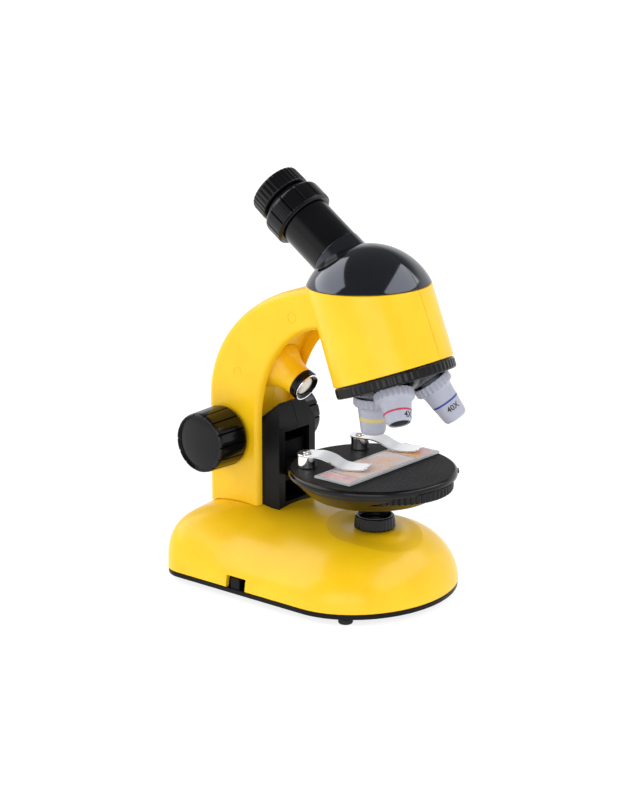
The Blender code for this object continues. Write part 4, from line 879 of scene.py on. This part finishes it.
def make_stage():
    profile = [(4.5, STAGE_UNDERSIDE, 0.3), (42.6, STAGE_UNDERSIDE, 0.6), (43.6, 65.9, 0.6),
               (44.0, 67.3, 0.9), (43.5, 68.8, 0.7), (42.4, STAGE_TOP, 0.7), (4.5, STAGE_TOP, 0.4)]
    stage = turned("stage_skin", profile, (STAGE_X, 0, 0), UP, 160, 4)
    tab = box((43.0, -2.2, 66.6), (44.4, 2.2, 68.2))
    tab.data.transform(Matrix.Translation((STAGE_X, 0, 0)) @ Matrix.Rotation(TAB_TURN, 4, "Z"))
    tools = [drill((WHEEL_X, 0, 0), UP, WHEEL_ROOM, 60, WHEEL_TOP + GAP, 160)]
    for side in (-1, 1):
        tools.append(drill((POST_X, side * POST_Y, 0), UP, 2.0, 60, 80, 32))
        tools.append(drill((POST_X, side * POST_Y, 0), UP, 3.2, 60, RIVET_TOP + GAP, 32))
    finish(join(cut(stage, *tools), tab), "stage_carrier", SATIN, "stage", sharp=28)
    repaint(stage, STAGE_GRAIN, lambda middle, normal: normal.z > 0.97 and middle.z > STAGE_TOP - 0.5)
    repaint(stage, LOOKS[GLOSS], lambda middle, normal: middle.z < STAGE_TOP - 0.05 and normal.z > -0.97)


def make_stage_bowl():
    bowl = [(8.0, 55.4, 0.3), (31.4, 55.4, 0.8), (33.4, 56.4, 1.0), (38.4, 61.0, 1.2), (41.0, 63.6, 0.8),
            (41.6, 64.9, 0.2), (39.4, 64.9), (39.0, 64.2, 0.4), (36.6, 61.8, 0.8), (31.8, 57.6, 0.8),
            (8.0, 57.6, 0.3)]
    made = turned("stage_bowl_skin", bowl, (STAGE_X, 0, 0), UP, 128)
    cut(made, drill((WHEEL_X, 0, 0), UP, WHEEL_ROOM, 60.5, 70, 128))
    pin = [(0, 57.0), (3.6, 57.0), (3.6, 60.2, 0.2), (2.4, 60.2), (2.4, WHEEL_TOP, 0.3), (0, WHEEL_TOP)]
    join(made, turned("tool_pin", pin, (WHEEL_X, 0, 0), UP, 32))
    cut(made, box((-20, -9.5, 56.7), (-6.2, 9.5, 70)))
    finish(made, "stage_carrier", GLOSS, "stage_bowl")


def make_aperture_wheel():
    wheel = [(2.7, 61.0), (31.0, 61.0, 0.2, 0.0), (31.8, 61.4, 0.2, 0.8), (32.0, 61.9, 0.1, 1.3),
             (32.0, 65.5, 0.1, 1.3), (31.8, 66.0, 0.2, 0.8), (31.0, WHEEL_TOP, 0.2, 0.0), (2.7, WHEEL_TOP)]
    made = turned("aperture_wheel_skin", wheel, (WHEEL_X, 0, 0), UP, fluted_turns(64, 6, 0.8))
    reach = WHEEL_X - STAGE_X
    tools = []
    for index, radius in enumerate((4.5, 3.6, 2.8, 2.0, 1.3)):
        turn = pi + 2 * pi * index / 5
        tools.append(drill((WHEEL_X + reach * cos(turn), reach * sin(turn), 0), UP, radius, 50, 80, 40))
    finish(cut(made, *tools), "aperture_wheel", GLOSS, "aperture_wheel")


def smooth_row(stations, steps):
    """Catmull-Rom through equally long tuples, steps to a stretch."""
    row = []
    for i in range(len(stations) - 1):
        a, b = stations[max(i - 1, 0)], stations[i]
        c, d = stations[i + 1], stations[min(i + 2, len(stations) - 1)]
        for k in range(steps):
            t = k / steps
            point = []
            for p, q, r, s in zip(a, b, c, d):
                square, cube = 2 * p - 5 * q + 4 * r - s, 3 * q - p - 3 * r + s
                point.append(0.5 * (2 * q + (r - p) * t + square * t * t + cube * t ** 3))
            row.append(tuple(point))
    return row + [tuple(stations[-1])]


def make_clips():
    forward = Vector((cos(CLIP_TURN), sin(CLIP_TURN), 0))
    across = Vector((-sin(CLIP_TURN), cos(CLIP_TURN), 0))
    low, thick, edge = SLIDE_TOP + GAP, 0.7, 0.18
    level = [(-4.9, 2.4), (-4.4, 3.4), (-3.4, 4.6), (-1.8, 5.4), (0.0, 5.8), (4.0, 6.6), (8.0, 7.0)]
    stations = [(reach, 76.4, half) for reach, half in level]
    stations += [(13.5, 74.9, 7.2), (19.0, low + 0.7, 7.0), (24.0, low, 6.7), (29.0, low + 0.1, 6.3),
                 (31.6, low + 0.5, 5.9), (33.0, low + 1.0, 5.3), (33.6, low + 1.3, 4.2)]
    section = ((-1, 0, edge), (-1, 1, 0), (1, -1, 0), (1, 0, edge), (1, 0, thick - edge), (1, -1, thick),
               (-1, 1, thick), (-1, 0, thick - edge))
    for side, tag in SIDES:
        post = Vector((POST_X, side * POST_Y, 0))
        rings = []
        for reach, height, half in smooth_row(stations, 5):
            ring = []
            for across_by, inward, rise in section:
                offset = across * (across_by * half + inward * edge) + UP * (height + rise)
                ring.append(post + forward * reach + offset)
            rings.append(ring)
        clip = loft(f"stage_clip_{tag}_skin", rings)
        cut(clip, drill(post, UP, 1.9, 60, 90, 32))
        finish(clip, f"clip_{tag}", "chrome", f"stage_clip_{tag}", sharp=40)
        profile = [(0, STAGE_UNDERSIDE), (2.9, STAGE_UNDERSIDE, 0.2), (2.9, RIVET_TOP, 0.2), (1.6, RIVET_TOP)]
        profile += [(1.6, STAGE_TOP + GAP), (5.0, STAGE_TOP + GAP, 0.3), (5.0, 76.1, 0.3), (1.6, 76.1)]
        profile += [(1.6, 77.4), (2.6, 77.4, 0.2), (2.4, 77.8, 0.3), (1.2, 78.0, 0.3), (0, 78.0)]
        turned_piece(f"clip_post_{tag}", "stage_carrier", "chrome", profile, post, UP, 48)


def make_slide():
    x0, x1, y0, y1, z0 = 19.3, 42.3, -34.8, 40.4, STAGE_TOP + GAP
    slide = round_edges(box((x0, y0, z0), (x1, y1, SLIDE_TOP), "specimen_slide_skin"), 0.25, 2)
    grooves = []
    for x in (x0 + 1.0, x1 - 1.0):
        grooves.append(box((x - 0.22, y0 + 0.6, SLIDE_TOP - 0.4), (x + 0.22, y1 - 0.6, 80)))
    for y in (y0 + 11.0, y0 + 57.0):
        grooves.append(box((x0 + 2.2, y - 0.25, SLIDE_TOP - 0.3), (x1 - 2.2, y + 0.25, 80)))
    cut(slide, *grooves)
    finish(slide, "slide", "clear", "specimen_slide", look=SLIDE_PLASTIC)
    border = 1.9
    windows = ((2.2, 10.2, PINK_FILM), (11.8, 56.2, PEACH_FILM), (57.8, 65.0, ORANGE_FILM),
               (65.0, 73.0, PINK_FILM))
    for index, (start, end, look) in enumerate(windows):
        film = box((x0 + border, y0 + start, SLIDE_TOP - 0.2), (x1 - border, y0 + end, SLIDE_TOP + 0.04),
                   f"specimen_{index + 1}")
        finish(round_edges(film, 0.03, 1), "slide", "clear", look=look)


# ---- room ----
def towards(swing, rise):
    """Direction to a place swing round from -Y and rise above the horizon, both in radians."""
    return Vector((sin(swing) * cos(rise), -cos(swing) * cos(rise), sin(rise)))


def panel(name, target, swing, rise, distance, size, radiance):
    """A soft light panel that faces target from a distance in metres, in the direction towards() gives."""
    width, height = size
    lamp = bpy.data.lights.new(name, "AREA")
    lamp.shape = "RECTANGLE"
    lamp.size, lamp.size_y = width, height
    lamp.energy = radiance * pi * width * height
    made = in_scene(name, lamp)
    place = target + towards(swing, rise) * distance
    made.location = place
    made.rotation_euler = (target - place).to_track_quat("-Z", "Y").to_euler()


def make_room():
    scene = bpy.context.scene
    scene.view_settings.view_transform = "Standard"
    world = bpy.data.worlds.new("studio")
    world.use_nodes = True
    nodes, links = world.node_tree.nodes, world.node_tree.links
    place, height = nodes.new("ShaderNodeTexCoord"), nodes.new("ShaderNodeSeparateXYZ")
    shade = nodes.new("ShaderNodeMapRange")
    shade.interpolation_type = "SMOOTHSTEP"
    for socket, value in (("From Min", 0.26), ("From Max", 0.58), ("To Min", 0.96), ("To Max", 0.22)):
        shade.inputs[socket].default_value = value
    links.new(place.outputs["Generated"], height.inputs["Vector"])
    links.new(height.outputs["Z"], shade.inputs["Value"])
    links.new(shade.outputs["Result"], nodes["Background"].inputs["Strength"])
    nodes["Background"].inputs["Color"].default_value = (0.98, 0.99, 1.0, 1)
    scene.world = world
    bm = bmesh.new()
    bmesh.ops.create_circle(bm, cap_ends=True, segments=96, radius=9.0)
    floor = solid("floor", bm)
    floor.data.materials.append(surface_of(
        "pale_floor", ((0.30, 0.30, 0.30), (0.33, 0.33, 0.33)), (0.55, 0.7), 300, 0.02, patch=3.0,
        Specular_IOR_Level=0.2, Emission_Color=(1, 1, 1, 1), Emission_Strength=0.82))
    azimuth, elevation, distance = radians(39.76), radians(15.73), 1.2907
    target = Vector((-0.01083, 0, 0.09956))
    toward = towards(azimuth, elevation)
    lens = bpy.data.cameras.new("camera")
    lens.lens, lens.sensor_width = 112.04, 36.0
    lens.clip_end = 50
    camera = in_scene("camera", lens)
    camera.location = target + toward * distance
    camera.rotation_euler = (-toward).to_track_quat("-Z", "Y").to_euler()
    scene.camera = camera
    panel("left_panel", target, azimuth - radians(108), radians(38), 2.2, (2.6, 1.6), 2.5)
    panel("right_panel", target, azimuth + radians(82), radians(44), 2.2, (3.0, 1.1), 2.5)
    panel("front_panel", target, azimuth - radians(12), radians(17), 2.6, (2.4, 1.2), 1.7)


for node in NODES.values():
    for slot in node.material_slots:
        slot.material = LOOKS[slot.material.name.split(".")[0]]
# the slider gets painted shade: a darker copy of the satin black for the shade inside the guide
NODES["stage_slider"].material_slots[0].material = SHADED_SLIDER_BLACK
make_base_shell()
make_base_plate()
make_base_screws()
make_feet()
make_battery_door()
make_lower_lamp()
make_switch()
for half_side, half_tag in SIDES:
    make_arm_half(half_side, half_tag)
    make_dome_half(half_side, half_tag)
    make_guide_half(half_side, half_tag)
make_eyepiece()
make_turret()
make_objectives()
make_upper_lamp()
make_knobs()
make_stage()
make_stage_bowl()
make_aperture_wheel()
make_clips()
make_slide()
make_room()
